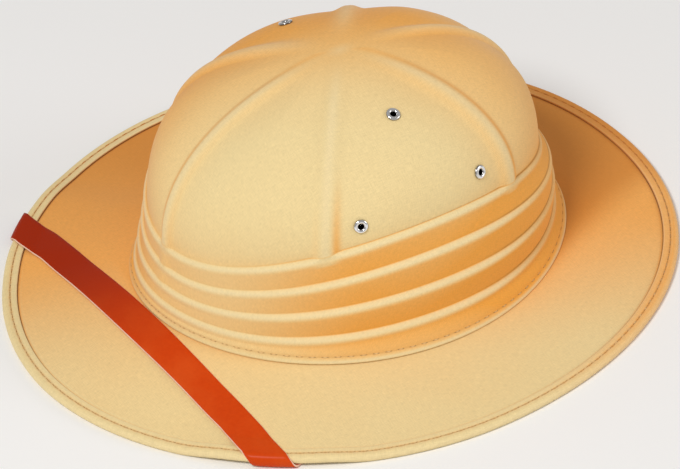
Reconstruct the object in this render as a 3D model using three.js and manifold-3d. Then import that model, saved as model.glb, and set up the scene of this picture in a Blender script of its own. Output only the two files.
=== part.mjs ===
// Pith helmet: a moulded fabric-covered crown with six raised ridges and four pleats,
// sewn to a wide oval brim with a bound edge, six metal eyelets and a flat chin strap
// carried over the front of the brim.
// Millimetres, +Z up. The front of the hat faces -Y and the wearer's left is +X.
// The origin is the middle of the hat's footprint, on the plane that its rim rests on.
import * as THREE from 'three';
import { mergeVertices } from 'three/addons/utils/BufferGeometryUtils.js';
import Module from 'manifold-3d';

// ---------------------------------------------------------------- driving dimensions

const GAP = 0.3; // clear space between pieces that touch on the real hat

const BRIM = {
  halfWidth: 153, // middle to edge, along X
  frontLength: 161.8, // widest line to the front edge
  backLength: 169.4, // widest line to the back edge
  frontSquareness: 1.94, // superellipse exponents: 2 is a plain ellipse
  backSquareness: 2.09,
  widestY: -3.8, // where the brim is widest
  thickness: 2.2,
  pinchedThickness: 1.6, // inside the edge binding
  levelBorder: 9, // outer border that lies level, so that the rim rests flat
};

const BINDING = {
  thickness: 1.0,
  lap: 7.4, // how far the folded tape reaches in over the brim
};

const CROWN = {
  halfWidth: 87.2, // outside, at the foot
  frontLength: 109.3,
  backLength: 111.6,
  centreY: 6.0,
  thickness: 2.1,
  apexZ: 119.9,
  apexShiftY: 2.9, // the top leans back by this much
  roundness: 2.1, // exponent of the dome's upright section
  sideRoundness: -0.11, // added to it at the sides, taken off it at front and back
  footTuck: 0.6, // the wall is drawn in by this much where its lower edge ends
  hemHeight: 2.4, // height of the turned lower edge
  panelSink: 1.6, // panels lie this far under the dome beside ridges and pleats
  panelSwell: 1.8, // and rise again by this much in their middles
  ridgeRise: 1.3, // ridge crests stand this far over the dome
  ridgeHalfWidth: 7.5,
};

const COLLAR = {
  thickness: 1.9, // upturned inner edge of the brim, sewn inside the crown's foot
  height: 6.0,
  strapInset: 8.5, // from the foot's outline to where the strap turns up inside it
};

const STRAP = {
  width: 17,
  thickness: 1.0,
  clearance: 0.5, // to the surface that it lies on
  endY: -108.2, // its middle line where it wraps over the brim's edge
  stepLength: 7, // over which it steps down from the binding to the brim
  bow: -4.2, // how much further forward it runs in front of the crown
  edgeLift: 1.65, // the rim is lifted this much where the strap wraps round it
  liftTop: 4, // degrees round the rim, each way, that are lifted in full
  liftReach: 15, // degrees each way at which the lift has faded out
  anchorTurn: -20, // where it comes up inside the crown, degrees from the side
  anchorSpread: 1.05, // degrees round the crown for each mm across the strap
  anchorStart: -3.6, // height over the foot at which it starts up the collar
  anchorClimbs: [1.6, 6, 12], // steps up the inside of the collar
  anchorLean: 0.6, // degrees that it leans back for each mm that it climbs
};

const EYELET = {
  outerRadius: 3.1,
  holeRadius: 1.3,
  barrelRadius: 2.0,
  flange: 0.9,
  innerPlay: 0.75, // between the wall's inner face and the inner flange
  innerTrim: 0.3, // the inner flange is this much smaller in radius
  bevel: 0.5, // of the outer flange's two rims
  sides: 14,
};

// Crown foot: height of its lower edge over the resting plane at five stations.
const FOOT = { front: 16.9, frontQuarter: 12.5, side: 5.1, backQuarter: 3.4, back: 6.2 };

// Pleats, lowest first: reach is the share of the foot's outline at the middle of the
// pleat's ledge, and the rest are the ledge's heights over the foot at five stations.
const PLEATS = [
  {
    reachFront: 0.975, reachBack: 0.950,
    front: 8.6, frontQuarter: 9.8, side: 16.1, backQuarter: 18.8, back: 16.4,
  },
  {
    reachFront: 0.950, reachBack: 0.951,
    front: 16.1, frontQuarter: 21.9, side: 32.3, backQuarter: 30.3, back: 23.5,
  },
  {
    reachFront: 0.925, reachBack: 0.942,
    front: 24.6, frontQuarter: 34.7, side: 48.3, backQuarter: 41.0, back: 30.3,
  },
  {
    reachFront: 0.907, reachBack: 0.899,
    front: 35.1, frontQuarter: 47.8, side: 63.0, backQuarter: 52.1, back: 38.7,
  },
];
const TOP_PLEAT = PLEATS[PLEATS.length - 1];

// Section of one pleat, from its lip up to its crease: out is away from the crown's
// middle and up is height, both from the middle of the ledge.
const PLEAT_SECTION = {
  lip: { out: 1.8, up: -2.6 },
  crest: { out: 1.4, up: -0.9 },
  crease: { out: -1.6, up: 0.9 },
};

// Ridges: degrees round the foot from the front.
const RIDGE_TURNS = [0, 58.2, 120.1, 180, 239.9, 301.8];

// Eyelets of one side: turn is degrees round from the side, climb is the share of the
// way up the dome. The other side mirrors them.
const EYELETS = [
  { name: 'top', turn: -0.8, climb: 0.6 },
  { name: 'front', turn: -21.5, climb: 0.125 },
  { name: 'rear', turn: 18.5, climb: 0.163 },
];

const COLUMNS_PER_PANEL = 12;
const COLUMNS = COLUMNS_PER_PANEL * RIDGE_TURNS.length;
const BRIM_SHARES = [0, 0.35, 0.7]; // rings of the brim between its foot and its border
const DOME_CLIMBS = [0.07, 0.16, 0.28, 0.41, 0.55, 0.69, 0.82, 0.93];
const LINING_CLIMBS = [0.1, 0.22, 0.38, 0.54, 0.68, 0.84];

// ---------------------------------------------------------------- shared geometry

const radians = THREE.MathUtils.degToRad;
const power = (base, exponent) => Math.sign(base) * Math.abs(base) ** exponent;

// A value given at five stations from front to back, carried smoothly round the hat.
function around(row, turn) {
  const stations = [row.front, row.frontQuarter, row.side, row.backQuarter, row.back];
  const last = stations.length - 1;
  const half = (index) => (index === 0 || index === last ? 0.5 : 1);
  const fromFront = turn + Math.PI / 2;
  let value = 0;
  for (let wave = 0; wave <= last; wave += 1) {
    let share = 0;
    for (let s = 0; s <= last; s += 1) {
      share += half(s) * stations[s] * Math.cos((Math.PI * s * wave) / last);
    }
    value += half(wave) * (2 / last) * share * Math.cos(wave * fromFront);
  }
  return value;
}

// Smooth step from 0 at low to 1 at high.
const ease = (low, high, value) => THREE.MathUtils.smoothstep(value, low, high);

// The turn (ellipse parameter, 0 at +X, -90 degrees at the front) of each mesh column,
// spaced so that every ridge has a column on its crest.
function columnTurn(column) {
  const panel = Math.floor(column / COLUMNS_PER_PANEL);
  const share = (column % COLUMNS_PER_PANEL) / COLUMNS_PER_PANEL;
  const laps = Math.floor(panel / RIDGE_TURNS.length);
  const start = RIDGE_TURNS[panel % RIDGE_TURNS.length];
  const end = RIDGE_TURNS[panel % RIDGE_TURNS.length + 1] ?? 360;
  return radians(start + (end - start) * share + 360 * laps - 90);
}

// Re-seats the vertices of a three.js grid geometry at place(column, row), and turns
// its faces outwards.
function seatGrid(geometry, columns, rows, place) {
  const points = [];
  for (let row = 0; row <= rows; row += 1) {
    for (let column = 0; column <= columns; column += 1) {
      points.push(...place(column, row).toArray());
    }
  }
  geometry.setAttribute('position', new THREE.Float32BufferAttribute(points, 3));
  geometry.deleteAttribute('normal');
  geometry.deleteAttribute('uv');
  const solid = mergeVertices(geometry, 1e-4);
  if (enclosedVolume(solid) < 0) {
    const index = solid.index.array;
    for (let i = 0; i < index.length; i += 3) {
      [index[i], index[i + 1]] = [index[i + 1], index[i]];
    }
  }
  return solid;
}

function enclosedVolume(geometry) {
  const position = geometry.attributes.position;
  const corner = [0, 1, 2].map(() => new THREE.Vector3());
  let volume = 0;
  for (let i = 0; i < geometry.index.count; i += 3) {
    corner.forEach((point, k) => point.fromBufferAttribute(position, geometry.index.getX(i + k)));
    volume += corner[0].dot(corner[1].cross(corner[2])) / 6;
  }
  return volume;
}

// A ring whose section at each column is a closed loop of points.
function ringSolid(columns, sectionAt) {
  const sections = Array.from({ length: columns }, (unused, column) => sectionAt(column));
  const rows = sections[0].length;
  const place = (column, row) => sections[column % columns][row % rows];
  return seatGrid(new THREE.TorusGeometry(2, 1, rows, columns), columns, rows, place);
}

// A bowl whose section at each column runs from the outer top down and up to the inner top.
function bowlSolid(columns, sectionAt) {
  const sections = Array.from({ length: columns }, (unused, column) => sectionAt(column));
  const rows = sections[0].length - 1;
  const place = (column, row) => sections[column % columns][row];
  return seatGrid(new THREE.SphereGeometry(1, columns, rows), columns, rows, place);
}

// A closed band: section loops joined end to end, closed off at its first and last.
function bandSolid(sections) {
  const centre = (points) => points
    .reduce((sum, point) => sum.add(point), new THREE.Vector3())
    .divideScalar(points.length);
  const corners = sections[0].length;
  const rows = sections.length + 1;
  const place = (column, row) => {
    if (row === 0) return centre(sections[0]);
    if (row === rows) return centre(sections[sections.length - 1]);
    return sections[row - 1][column % corners];
  };
  return seatGrid(new THREE.SphereGeometry(1, corners, rows), corners, rows, place);
}

// ---------------------------------------------------------------- brim

const rimMiddleZ = BRIM.pinchedThickness / 2 + GAP + BINDING.thickness;

// The rim is lifted a little where the strap wraps round it.
function rimLift(turn) {
  const fromFront = Math.abs(THREE.MathUtils.radToDeg(angleFromFront(turn)));
  const fromWrap = Math.abs(fromFront - wrapFromFront);
  return STRAP.edgeLift * (1 - ease(STRAP.liftTop, STRAP.liftReach, fromWrap));
}

// Angle from the front, -180 to 180 degrees, in radians.
function angleFromFront(turn) {
  const fromFront = turn + Math.PI / 2;
  return Math.atan2(Math.sin(fromFront), Math.cos(fromFront));
}

// A point on the brim's outline, moved in by inset.
function brimEdge(turn, inset = 0) {
  const ahead = Math.sin(turn) < 0;
  const length = (ahead ? BRIM.frontLength : BRIM.backLength) - inset;
  const squareness = ahead ? BRIM.frontSquareness : BRIM.backSquareness;
  return new THREE.Vector2(
    (BRIM.halfWidth - inset) * power(Math.cos(turn), 2 / squareness),
    BRIM.widestY + length * power(Math.sin(turn), 2 / squareness),
  );
}

// A point on the crown foot's outline, scaled by reach and moved out by out.
function footOutline(turn, reach = 1, out = 0) {
  const length = Math.sin(turn) < 0 ? CROWN.frontLength : CROWN.backLength;
  return new THREE.Vector2(
    (CROWN.halfWidth * reach + out) * Math.cos(turn),
    CROWN.centreY + (length * reach + out) * Math.sin(turn),
  );
}

// The brim's middle surface: share is 0 at the crown's foot and 1 at the edge.
function brimMiddle(turn, share) {
  const inner = footOutline(turn);
  const outer = brimEdge(turn);
  const level = 1 - BRIM.levelBorder / inner.distanceTo(outer);
  const footZ = around(FOOT, turn) - GAP - BRIM.thickness / 2;
  const rise = Math.max(0, 1 - share / level);
  const z = rimMiddleZ + (footZ - rimMiddleZ) * rise + rimLift(turn) * (1 - rise);
  const plan = inner.lerp(outer, share);
  return new THREE.Vector3(plan.x, plan.y, z);
}

// The same, for a place given by how far in it is from the brim's edge.
function brimMiddleInset(turn, inset) {
  const span = footOutline(turn).distanceTo(brimEdge(turn));
  return brimMiddle(turn, 1 - inset / span);
}

const raised = (point, height) => new THREE.Vector3(point.x, point.y, point.z + height);

// The upturned collar inside the crown's foot: its outer face follows the crown's wall.
function collarPoint(turn, depth, height) {
  const wall = crownWallAt(turn, height);
  const plan = footOutline(turn, 1, wall - CROWN.thickness - GAP - depth);
  return new THREE.Vector3(plan.x, plan.y, around(FOOT, turn) + height);
}

function brimSection(column) {
  const turn = columnTurn(column);
  const half = BRIM.thickness / 2;
  const pinched = BRIM.pinchedThickness / 2;
  const edgeInset = BINDING.thickness + GAP;
  const border = brimMiddleInset(turn, BRIM.levelBorder);
  const edge = brimMiddleInset(turn, edgeInset);
  const lap = brimMiddleInset(turn, BINDING.lap - 1);
  const top = BRIM_SHARES.map((share) => raised(brimMiddle(turn, share), half));
  const under = BRIM_SHARES.map((share) => raised(brimMiddle(turn, share), -half)).reverse();
  const underFoot = collarPoint(turn, COLLAR.thickness, -GAP - BRIM.thickness);
  return [
    collarPoint(turn, 0, -GAP),
    ...top,
    raised(border, half),
    raised(lap, pinched),
    raised(edge, pinched),
    raised(edge, -pinched),
    raised(lap, -pinched),
    raised(border, -half),
    ...under,
    underFoot,
    collarPoint(turn, COLLAR.thickness, COLLAR.height),
    collarPoint(turn, 0, COLLAR.height),
  ];
}

// ---------------------------------------------------------------- edge binding

function bindingSection(column) {
  const turn = columnTurn(column);
  const radius = rimMiddleZ;
  const at = (inset, height) => raised(brimMiddleInset(turn, inset), height);
  const inside = radius - BINDING.thickness;
  const section = [at(BINDING.lap, -radius)];
  for (let step = -2; step <= 2; step += 1) {
    const angle = (step * Math.PI) / 4;
    section.push(at(radius * (1 - Math.cos(angle)), radius * Math.sin(angle)));
  }
  section.push(
    at(BINDING.lap, radius),
    at(BINDING.lap, inside),
    at(BINDING.thickness, inside),
    at(BINDING.thickness, -inside),
    at(BINDING.lap, -inside),
  );
  return section;
}

// ---------------------------------------------------------------- crown

// How far out from the foot's outline the plain band under the lowest pleat stands.
function crownWallAt(turn, height) {
  const lowest = PLEATS[0];
  const { lip } = PLEAT_SECTION;
  const top = around(lowest, turn) + lip.up;
  const reach = pleatReach(lowest, turn);
  const length = footOutline(turn).distanceTo(new THREE.Vector2(0, CROWN.centreY));
  const lipOut = (reach - 1) * length + lip.out;
  const share = THREE.MathUtils.clamp(height / top, 0, 1);
  return THREE.MathUtils.lerp(-CROWN.footTuck, lipOut, share);
}

function pleatReach(pleat, turn) {
  const toBack = (1 + Math.sin(turn)) / 2;
  return THREE.MathUtils.lerp(pleat.reachFront, pleat.reachBack, toBack);
}

// 1 on a ridge's crest, falling to 0 at its sides.
function ridgeShare(turn, plan, turns = RIDGE_TURNS) {
  let share = 0;
  for (const ridgeTurn of turns) {
    const away = angleFromFront(turn - radians(ridgeTurn));
    const ahead = Math.cos(away) > 0;
    const distance = ahead ? Math.abs(Math.sin(away)) * plan : Infinity;
    const flank = Math.min(1, distance / CROWN.ridgeHalfWidth);
    share = Math.max(share, (1 - flank ** 2) ** 2);
  }
  return share;
}

// Distance in plan from the crown's upright axis.
function planRadius(turn, reach) {
  return footOutline(turn, reach).distanceTo(new THREE.Vector2(0, CROWN.centreY));
}

// One point of a pleat's section. The lower three pleats run on past the side ridges
// and only the front ridge breaks them; every ridge breaks the top one.
function pleatPoint(pleat, part, turn) {
  const reach = pleatReach(pleat, turn);
  const breaking = pleat === TOP_PLEAT ? RIDGE_TURNS : [RIDGE_TURNS[0]];
  const broken = pleat === PLEATS[0] ? 0 : ridgeShare(turn, planRadius(turn, reach), breaking);
  const crestOut = Math.max(part.out, CROWN.ridgeRise);
  const out = THREE.MathUtils.lerp(part.out, crestOut, broken);
  const plan = footOutline(turn, reach, out);
  const z = around(FOOT, turn) + around(pleat, turn) + part.up;
  return new THREE.Vector3(plan.x, plan.y, z);
}

// The smooth dome over the top pleat, and which way it faces.
function domeFrame(turn, climb) {
  const angle = (climb * Math.PI) / 2;
  const roundness = CROWN.roundness + CROWN.sideRoundness * Math.cos(2 * turn);
  const reach = pleatReach(TOP_PLEAT, turn) * Math.max(0, Math.cos(angle)) ** (2 / roundness);
  const height = Math.sin(angle) ** (2 / roundness);
  const plan = footOutline(turn, reach);
  const springZ = around(FOOT, turn) + around(TOP_PLEAT, turn);
  const z = THREE.MathUtils.lerp(springZ, CROWN.apexZ, height);
  const facing = new THREE.Vector3(Math.cos(turn) * reach, Math.sin(turn) * reach, height);
  return {
    point: new THREE.Vector3(plan.x, plan.y + CROWN.apexShiftY * height, z),
    facing: facing.normalize(),
    radius: planRadius(turn, reach),
  };
}

// The dome's outer face, with its ridges and the sunk, gently swollen panels between.
function domePoint(turn, climb, depth = 0) {
  const { point, facing, radius } = domeFrame(turn, climb);
  const nearest = Math.min(...RIDGE_TURNS.map((ridgeTurn) => (
    Math.abs(angleFromFront(turn - radians(ridgeTurn)))
  )));
  const swell = ease(0, 30, nearest * radius) * ease(0, 0.35, climb);
  const panel = -CROWN.panelSink + CROWN.panelSwell * swell;
  const offset = THREE.MathUtils.lerp(panel, CROWN.ridgeRise, ridgeShare(turn, radius));
  return point.addScaledVector(facing, offset - depth);
}

// Moves a point of the pleated wall in and down by about the wall's thickness.
function inward(point, turn) {
  const across = CROWN.thickness * 0.92;
  const down = CROWN.thickness * 0.5;
  const step = new THREE.Vector3(across * Math.cos(turn), across * Math.sin(turn), down);
  return point.clone().sub(step);
}

function crownSection(column) {
  const turn = columnTurn(column);
  const footZ = around(FOOT, turn);
  const footPoint = (out, height) => {
    const plan = footOutline(turn, 1, out);
    return new THREE.Vector3(plan.x, plan.y, footZ + height);
  };
  const { lip, crest, crease } = PLEAT_SECTION;
  const outer = [domePoint(0, 1)];
  [...DOME_CLIMBS].reverse().forEach((climb) => outer.push(domePoint(turn, climb)));
  for (const pleat of [...PLEATS].reverse()) {
    for (const part of [crease, crest, lip]) outer.push(pleatPoint(pleat, part, turn));
  }
  outer.push(
    footPoint(-CROWN.footTuck, CROWN.hemHeight),
    footPoint(0, CROWN.hemHeight / 2),
    footPoint(0, 0),
  );
  const inner = [
    footPoint(-CROWN.footTuck - CROWN.thickness, 0),
    footPoint(crownWallAt(turn, COLLAR.height) - CROWN.thickness, COLLAR.height),
  ];
  for (const pleat of PLEATS) {
    if (pleat !== PLEATS[0]) inner.push(inward(pleatPoint(pleat, lip, turn), turn));
    inner.push(inward(pleatPoint(pleat, crease, turn), turn));
  }
  LINING_CLIMBS.forEach((climb) => inner.push(domePoint(turn, climb, CROWN.thickness)));
  inner.push(domePoint(0, 1, CROWN.thickness));
  return [...outer, ...inner];
}

// ---------------------------------------------------------------- eyelets

// Where an eyelet sits on the crown, and the way out through the wall there.
function eyeletSeat(turn, climb) {
  const step = 0.01;
  const point = domePoint(turn, climb);
  const along = domePoint(turn + step, climb).sub(domePoint(turn - step, climb));
  const up = domePoint(turn, climb + step).sub(domePoint(turn, climb - step));
  return { point, axis: along.cross(up).normalize() };
}

function eyeletSeats() {
  const seats = [];
  for (const side of [1, -1]) {
    for (const { name, turn, climb } of EYELETS) {
      const facing = side > 0 ? radians(turn) : Math.PI - radians(turn);
      const label = side > 0 ? 'left' : 'right';
      seats.push({ name: `eyelet_${label}_${name}`, ...eyeletSeat(facing, climb) });
    }
  }
  return seats;
}

// A turned ring: domed outer flange, barrel through the wall, and a flat inner flange.
function eyeletGeometry() {
  const { outerRadius, holeRadius, barrelRadius, flange, bevel } = EYELET;
  const innerRadius = outerRadius - EYELET.innerTrim;
  const inside = -CROWN.thickness - EYELET.innerPlay;
  const profile = [
    [holeRadius, inside - flange],
    [innerRadius, inside - flange],
    [innerRadius, inside],
    [barrelRadius, inside],
    [barrelRadius, GAP],
    [outerRadius, GAP],
    [outerRadius - bevel, GAP + flange * 0.8],
    [holeRadius + bevel, GAP + flange],
    [holeRadius, GAP + flange * 0.4],
    [holeRadius, inside - flange],
  ].map(([radius, height]) => new THREE.Vector2(radius, height));
  const ring = new THREE.LatheGeometry(profile, EYELET.sides);
  ring.rotateX(Math.PI / 2);
  ring.deleteAttribute('normal');
  ring.deleteAttribute('uv');
  return mergeVertices(ring, 1e-4);
}

// ---------------------------------------------------------------- booleans

const wasm = await Module();
wasm.setup();

function toManifold(geometry) {
  return new wasm.Manifold(new wasm.Mesh({
    numProp: 3,
    vertProperties: new Float32Array(geometry.attributes.position.array),
    triVerts: new Uint32Array(geometry.index.array),
  }));
}

function fromManifold(solid) {
  const mesh = solid.getMesh();
  const geometry = new THREE.BufferGeometry();
  geometry.setAttribute('position', new THREE.Float32BufferAttribute(mesh.vertProperties, 3));
  geometry.setIndex(new THREE.Uint32BufferAttribute(mesh.triVerts, 1));
  return geometry;
}

// The crown's shell with a hole through its wall for each eyelet.
function crownGeometry(seats) {
  let shell = toManifold(bowlSolid(COLUMNS, crownSection));
  const drill = new THREE.CylinderGeometry(1, 1, 1, EYELET.sides);
  const drillLength = CROWN.thickness * 6;
  const radius = EYELET.barrelRadius + GAP;
  for (const { point, axis } of seats) {
    const turnTo = new THREE.Quaternion().setFromUnitVectors(new THREE.Vector3(0, 1, 0), axis);
    const size = new THREE.Vector3(radius, drillLength, radius);
    const cutter = drill.clone().applyMatrix4(new THREE.Matrix4().compose(point, turnTo, size));
    cutter.deleteAttribute('normal');
    cutter.deleteAttribute('uv');
    shell = shell.subtract(toManifold(mergeVertices(cutter, 1e-4)));
  }
  return fromManifold(shell);
}

// ---------------------------------------------------------------- chin strap

// Where a line of the strap, side mm behind its middle line, crosses the brim's edge.
function wrapTurn(side) {
  const y = STRAP.endY + side - BRIM.widestY;
  return -Math.asin((-y / BRIM.frontLength) ** (BRIM.frontSquareness / 2));
}

const wrapFromFront = 90 + THREE.MathUtils.radToDeg(wrapTurn(0));

// Height of the strap's near face over the brim's middle surface: it steps up on to the
// edge binding near the rim.
function strapStandoff(turn, share) {
  const span = footOutline(turn).distanceTo(brimEdge(turn));
  const inset = (1 - share) * span;
  const onBinding = 1 - ease(BINDING.lap + STRAP.clearance, BINDING.lap + STRAP.stepLength, inset);
  const surface = THREE.MathUtils.lerp(BRIM.thickness / 2, rimMiddleZ, onBinding);
  return surface + STRAP.clearance;
}

// The turn and share of the brim's middle surface under a place in the front left
// quarter of the plan, found by halving the turn.
function brimPlace(place) {
  let low = -Math.PI / 2;
  let high = 0;
  for (let halving = 0; halving < 30; halving += 1) {
    const turn = (low + high) / 2;
    const inner = footOutline(turn);
    const spoke = brimEdge(turn).sub(inner);
    const beyond = spoke.cross(place.clone().sub(inner)) > 0;
    if (beyond) low = turn;
    else high = turn;
  }
  const inner = footOutline(low);
  const spoke = brimEdge(low).sub(inner);
  return { turn: low, share: place.clone().sub(inner).dot(spoke) / spoke.lengthSq() };
}

// Over the brim: one line of the strap, from the middle of the front out to the edge.
function strapOverBrim(side, progress, depth) {
  const end = brimEdge(wrapTurn(side));
  const bow = STRAP.bow * Math.cos((progress * Math.PI) / 2) ** 2;
  const place = new THREE.Vector2(end.x * progress, STRAP.endY + side + bow);
  const { turn, share } = brimPlace(place);
  return raised(brimMiddle(turn, share), strapStandoff(turn, share) + depth);
}

// Round the edge: a half turn about the middle of the rim.
function strapRoundEdge(side, angle, depth) {
  const turn = wrapTurn(side);
  const edge = brimEdge(turn);
  const before = brimEdge(turn - 0.01);
  const normal = brimEdge(turn + 0.01).sub(before).rotateAround(new THREE.Vector2(), -Math.PI / 2);
  normal.normalize();
  const radius = rimMiddleZ + STRAP.clearance + depth;
  const centre = raised(brimMiddle(turn, 1), 0);
  const out = radius * Math.sin(angle) - rimMiddleZ;
  return new THREE.Vector3(
    edge.x + normal.x * out,
    edge.y + normal.y * out,
    centre.z + radius * Math.cos(angle),
  );
}

// Where a line of the strap meets the inner edge of the brim's collar.
function anchorTurn(side) {
  return radians(STRAP.anchorTurn + side * STRAP.anchorSpread);
}

// Under the brim, straight from its edge to the mouth of the crown.
function strapUnderBrim(side, progress, depth) {
  const start = brimEdge(wrapTurn(side), rimMiddleZ);
  const mouth = footOutline(anchorTurn(side), 1, -COLLAR.strapInset);
  const place = start.lerp(mouth, progress);
  const { turn, share } = brimPlace(place);
  const middle = brimMiddle(turn, Math.max(0, share));
  const drop = strapStandoff(turn, Math.max(0, share)) + depth;
  return new THREE.Vector3(place.x, place.y, middle.z - drop);
}

// Up the inner face of the collar to the strap's sewn end.
function strapUpCollar(side, climb, depth) {
  const turn = anchorTurn(side) + radians(climb * STRAP.anchorLean);
  const height = STRAP.anchorStart + climb;
  const inside = COLLAR.thickness + STRAP.clearance + depth;
  const wall = collarPoint(turn, inside, Math.min(height, COLLAR.height));
  wall.z = around(FOOT, turn) + height;
  return wall;
}

// One line of the strap from the middle of the front to its end inside the crown.
function strapLine(side, depth) {
  const line = [];
  const overSteps = 14;
  for (let step = 0; step < overSteps; step += 1) {
    line.push(strapOverBrim(side, step / overSteps, depth));
  }
  const wrapSteps = 6;
  for (let step = 0; step <= wrapSteps; step += 1) {
    line.push(strapRoundEdge(side, (step * Math.PI) / wrapSteps, depth));
  }
  const underSteps = 8;
  const crowding = 1.6; // steps lie closer together next to the edge
  for (let step = 1; step <= underSteps; step += 1) {
    line.push(strapUnderBrim(side, (step / underSteps) ** crowding, depth));
  }
  for (const climb of STRAP.anchorClimbs) line.push(strapUpCollar(side, climb, depth));
  return line;
}

function strapGeometry() {
  const sides = [-STRAP.width / 2, 0, STRAP.width / 2];
  const near = sides.map((side) => strapLine(side, 0));
  const far = [...sides].reverse().map((side) => strapLine(side, STRAP.thickness));
  const corners = [...near, ...far];
  const leftHalf = corners[0].map((unused, station) => corners.map((line) => line[station]));
  const mirrored = ([...points]) => points.map((p) => new THREE.Vector3(-p.x, p.y, p.z));
  const rightHalf = leftHalf.slice(1).reverse().map(mirrored);
  return bandSolid([...rightHalf, ...leftHalf]);
}

// ---------------------------------------------------------------- assembly

const cloth = () => new THREE.MeshStandardMaterial({ color: 0xe3c58c, roughness: 0.85, metalness: 0 });
const leather = () => new THREE.MeshStandardMaterial({ color: 0xb93d12, roughness: 0.5, metalness: 0 });
const nickel = () => new THREE.MeshStandardMaterial({ color: 0xc9c9cc, roughness: 0.25, metalness: 1 });

function piece(name, geometry, material) {
  geometry.computeVertexNormals();
  const mesh = new THREE.Mesh(geometry, material);
  mesh.name = name;
  return mesh;
}

const seats = eyeletSeats();
const helmet = new THREE.Group();
helmet.name = 'pith_helmet';
helmet.add(piece('crown', crownGeometry(seats), cloth()));
helmet.add(piece('brim', ringSolid(COLUMNS, brimSection), cloth()));
helmet.add(piece('edge_binding', ringSolid(COLUMNS, bindingSection), cloth()));
helmet.add(piece('chin_strap', strapGeometry(), leather()));
for (const { name, point, axis } of seats) {
  const eyelet = piece(name, eyeletGeometry(), nickel());
  eyelet.position.copy(point);
  eyelet.quaternion.setFromUnitVectors(new THREE.Vector3(0, 0, 1), axis);
  helmet.add(eyelet);
}

export default helmet;
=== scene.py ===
# %% [markdown]
# # A moulded sun helmet, finished in Blender
#
# The construction comes from a fixed frame: a crown, a brim, a bound edge, a chin strap
# and six eyelets, all at their real size in metres. This lesson keeps that frame as it is
# and makes a finer skin for each piece, with its folds, stitches, cloth, leather and
# metal. The front of the hat faces -Y, and the wearer's left is +X.

# %% Load the frame
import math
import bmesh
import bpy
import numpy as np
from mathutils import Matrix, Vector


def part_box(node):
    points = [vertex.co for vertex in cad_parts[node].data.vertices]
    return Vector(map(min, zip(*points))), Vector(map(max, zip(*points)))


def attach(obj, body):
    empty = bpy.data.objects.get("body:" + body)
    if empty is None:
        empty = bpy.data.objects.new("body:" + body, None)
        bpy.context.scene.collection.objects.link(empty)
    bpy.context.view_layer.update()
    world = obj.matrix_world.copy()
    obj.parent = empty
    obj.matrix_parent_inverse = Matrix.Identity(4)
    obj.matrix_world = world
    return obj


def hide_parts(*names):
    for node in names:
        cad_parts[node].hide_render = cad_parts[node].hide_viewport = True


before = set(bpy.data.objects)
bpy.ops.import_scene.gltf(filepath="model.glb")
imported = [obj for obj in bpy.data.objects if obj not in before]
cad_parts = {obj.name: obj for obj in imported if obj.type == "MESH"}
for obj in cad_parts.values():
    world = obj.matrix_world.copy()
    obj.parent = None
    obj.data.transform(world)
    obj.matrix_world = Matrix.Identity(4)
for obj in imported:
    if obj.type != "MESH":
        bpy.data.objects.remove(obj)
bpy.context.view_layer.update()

# %% [markdown]
# ## The camera
#
# A camera could be aimed with a Track To constraint, but then its roll is fixed. Here its
# three axes are written down instead: how far round the hat it stands, how high, and how
# much it is tipped. A long lens from three metres away keeps the brim's ellipse almost
# free of perspective, as a catalogue picture does.

CAMERA_TURN = math.radians(59.426)
CAMERA_HEIGHT = math.radians(36.795)
CAMERA_ROLL = math.radians(-3.966)
CAMERA_DISTANCE = 2.97
CAMERA_TARGET = Vector((0.01866, -0.00905, 0.03167))
CAMERA_LENS = 331.7
SENSOR_WIDTH = 36.0


def set_camera():
    level = math.cos(CAMERA_HEIGHT)
    back = Vector((
        math.sin(CAMERA_TURN) * level,
        -math.cos(CAMERA_TURN) * level,
        math.sin(CAMERA_HEIGHT),
    ))
    right = Vector((math.cos(CAMERA_TURN), math.sin(CAMERA_TURN), 0))
    up = back.cross(right)
    tipped_right = right * math.cos(CAMERA_ROLL) + up * math.sin(CAMERA_ROLL)
    tipped_up = up * math.cos(CAMERA_ROLL) - right * math.sin(CAMERA_ROLL)
    data = bpy.data.cameras.new("camera")
    data.lens = CAMERA_LENS
    data.sensor_width = SENSOR_WIDTH
    camera = bpy.data.objects.new("camera", data)
    axes = Matrix((tipped_right, tipped_up, back)).transposed()
    place = CAMERA_TARGET + back * CAMERA_DISTANCE
    camera.matrix_world = Matrix.Translation(place) @ axes.to_4x4()
    bpy.context.scene.collection.objects.link(camera)
    bpy.context.scene.camera = camera
    return camera


camera = set_camera()
print("camera stands", [round(value, 3) for value in camera.location])

# %% [markdown]
# ## Numbers that go round the hat
#
# Every outline of this hat is a closed curve, so most sizes are functions of one angle, the turn:
# 0 at the wearer's left, and minus a quarter turn at the front. A few heights are known at five
# stations from front to back, and a cosine series carries them smoothly round. A spline could do
# that too, but the series is symmetrical and has no join where it closes.
# Everything is worked out in millimetres and becomes metres when a mesh is made.

# %% Helpers for the numbers
MM = 0.001
QUARTER = math.pi / 2


def ease(low, high, value):
    share = np.clip((value - low) / (high - low), 0, 1)
    return share * share * (3 - 2 * share)


def blend(start, end, share):
    return start + (end - start) * share


def bump(centre, width, value):
    """A smooth hump of height 1."""
    return np.exp(-(((value - centre) / width) ** 2))


def power(base, exponent):
    return np.sign(base) * np.abs(base) ** exponent


def around(stations, turn):
    """A value given at five stations from front to back, carried smoothly round."""
    values = np.asarray(stations, float)
    index = np.arange(len(values))
    last = index[-1]
    half = np.ones(len(values))
    half[[0, last]] = 0.5
    waves = np.cos(math.pi * np.outer(index, index) / last)
    shares = half * (2 / last) * (waves @ (half * values))
    from_front = np.asarray(turn) + QUARTER
    return sum(share * np.cos(wave * from_front) for wave, share in enumerate(shares))


def points(*coordinates):
    return np.stack(np.broadcast_arrays(*coordinates), axis=-1).astype(float)


def table(names, rows):
    """Rows of plain numbers as dicts under the given column names."""
    return [dict(zip(names.split(), row)) for row in rows]

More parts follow.
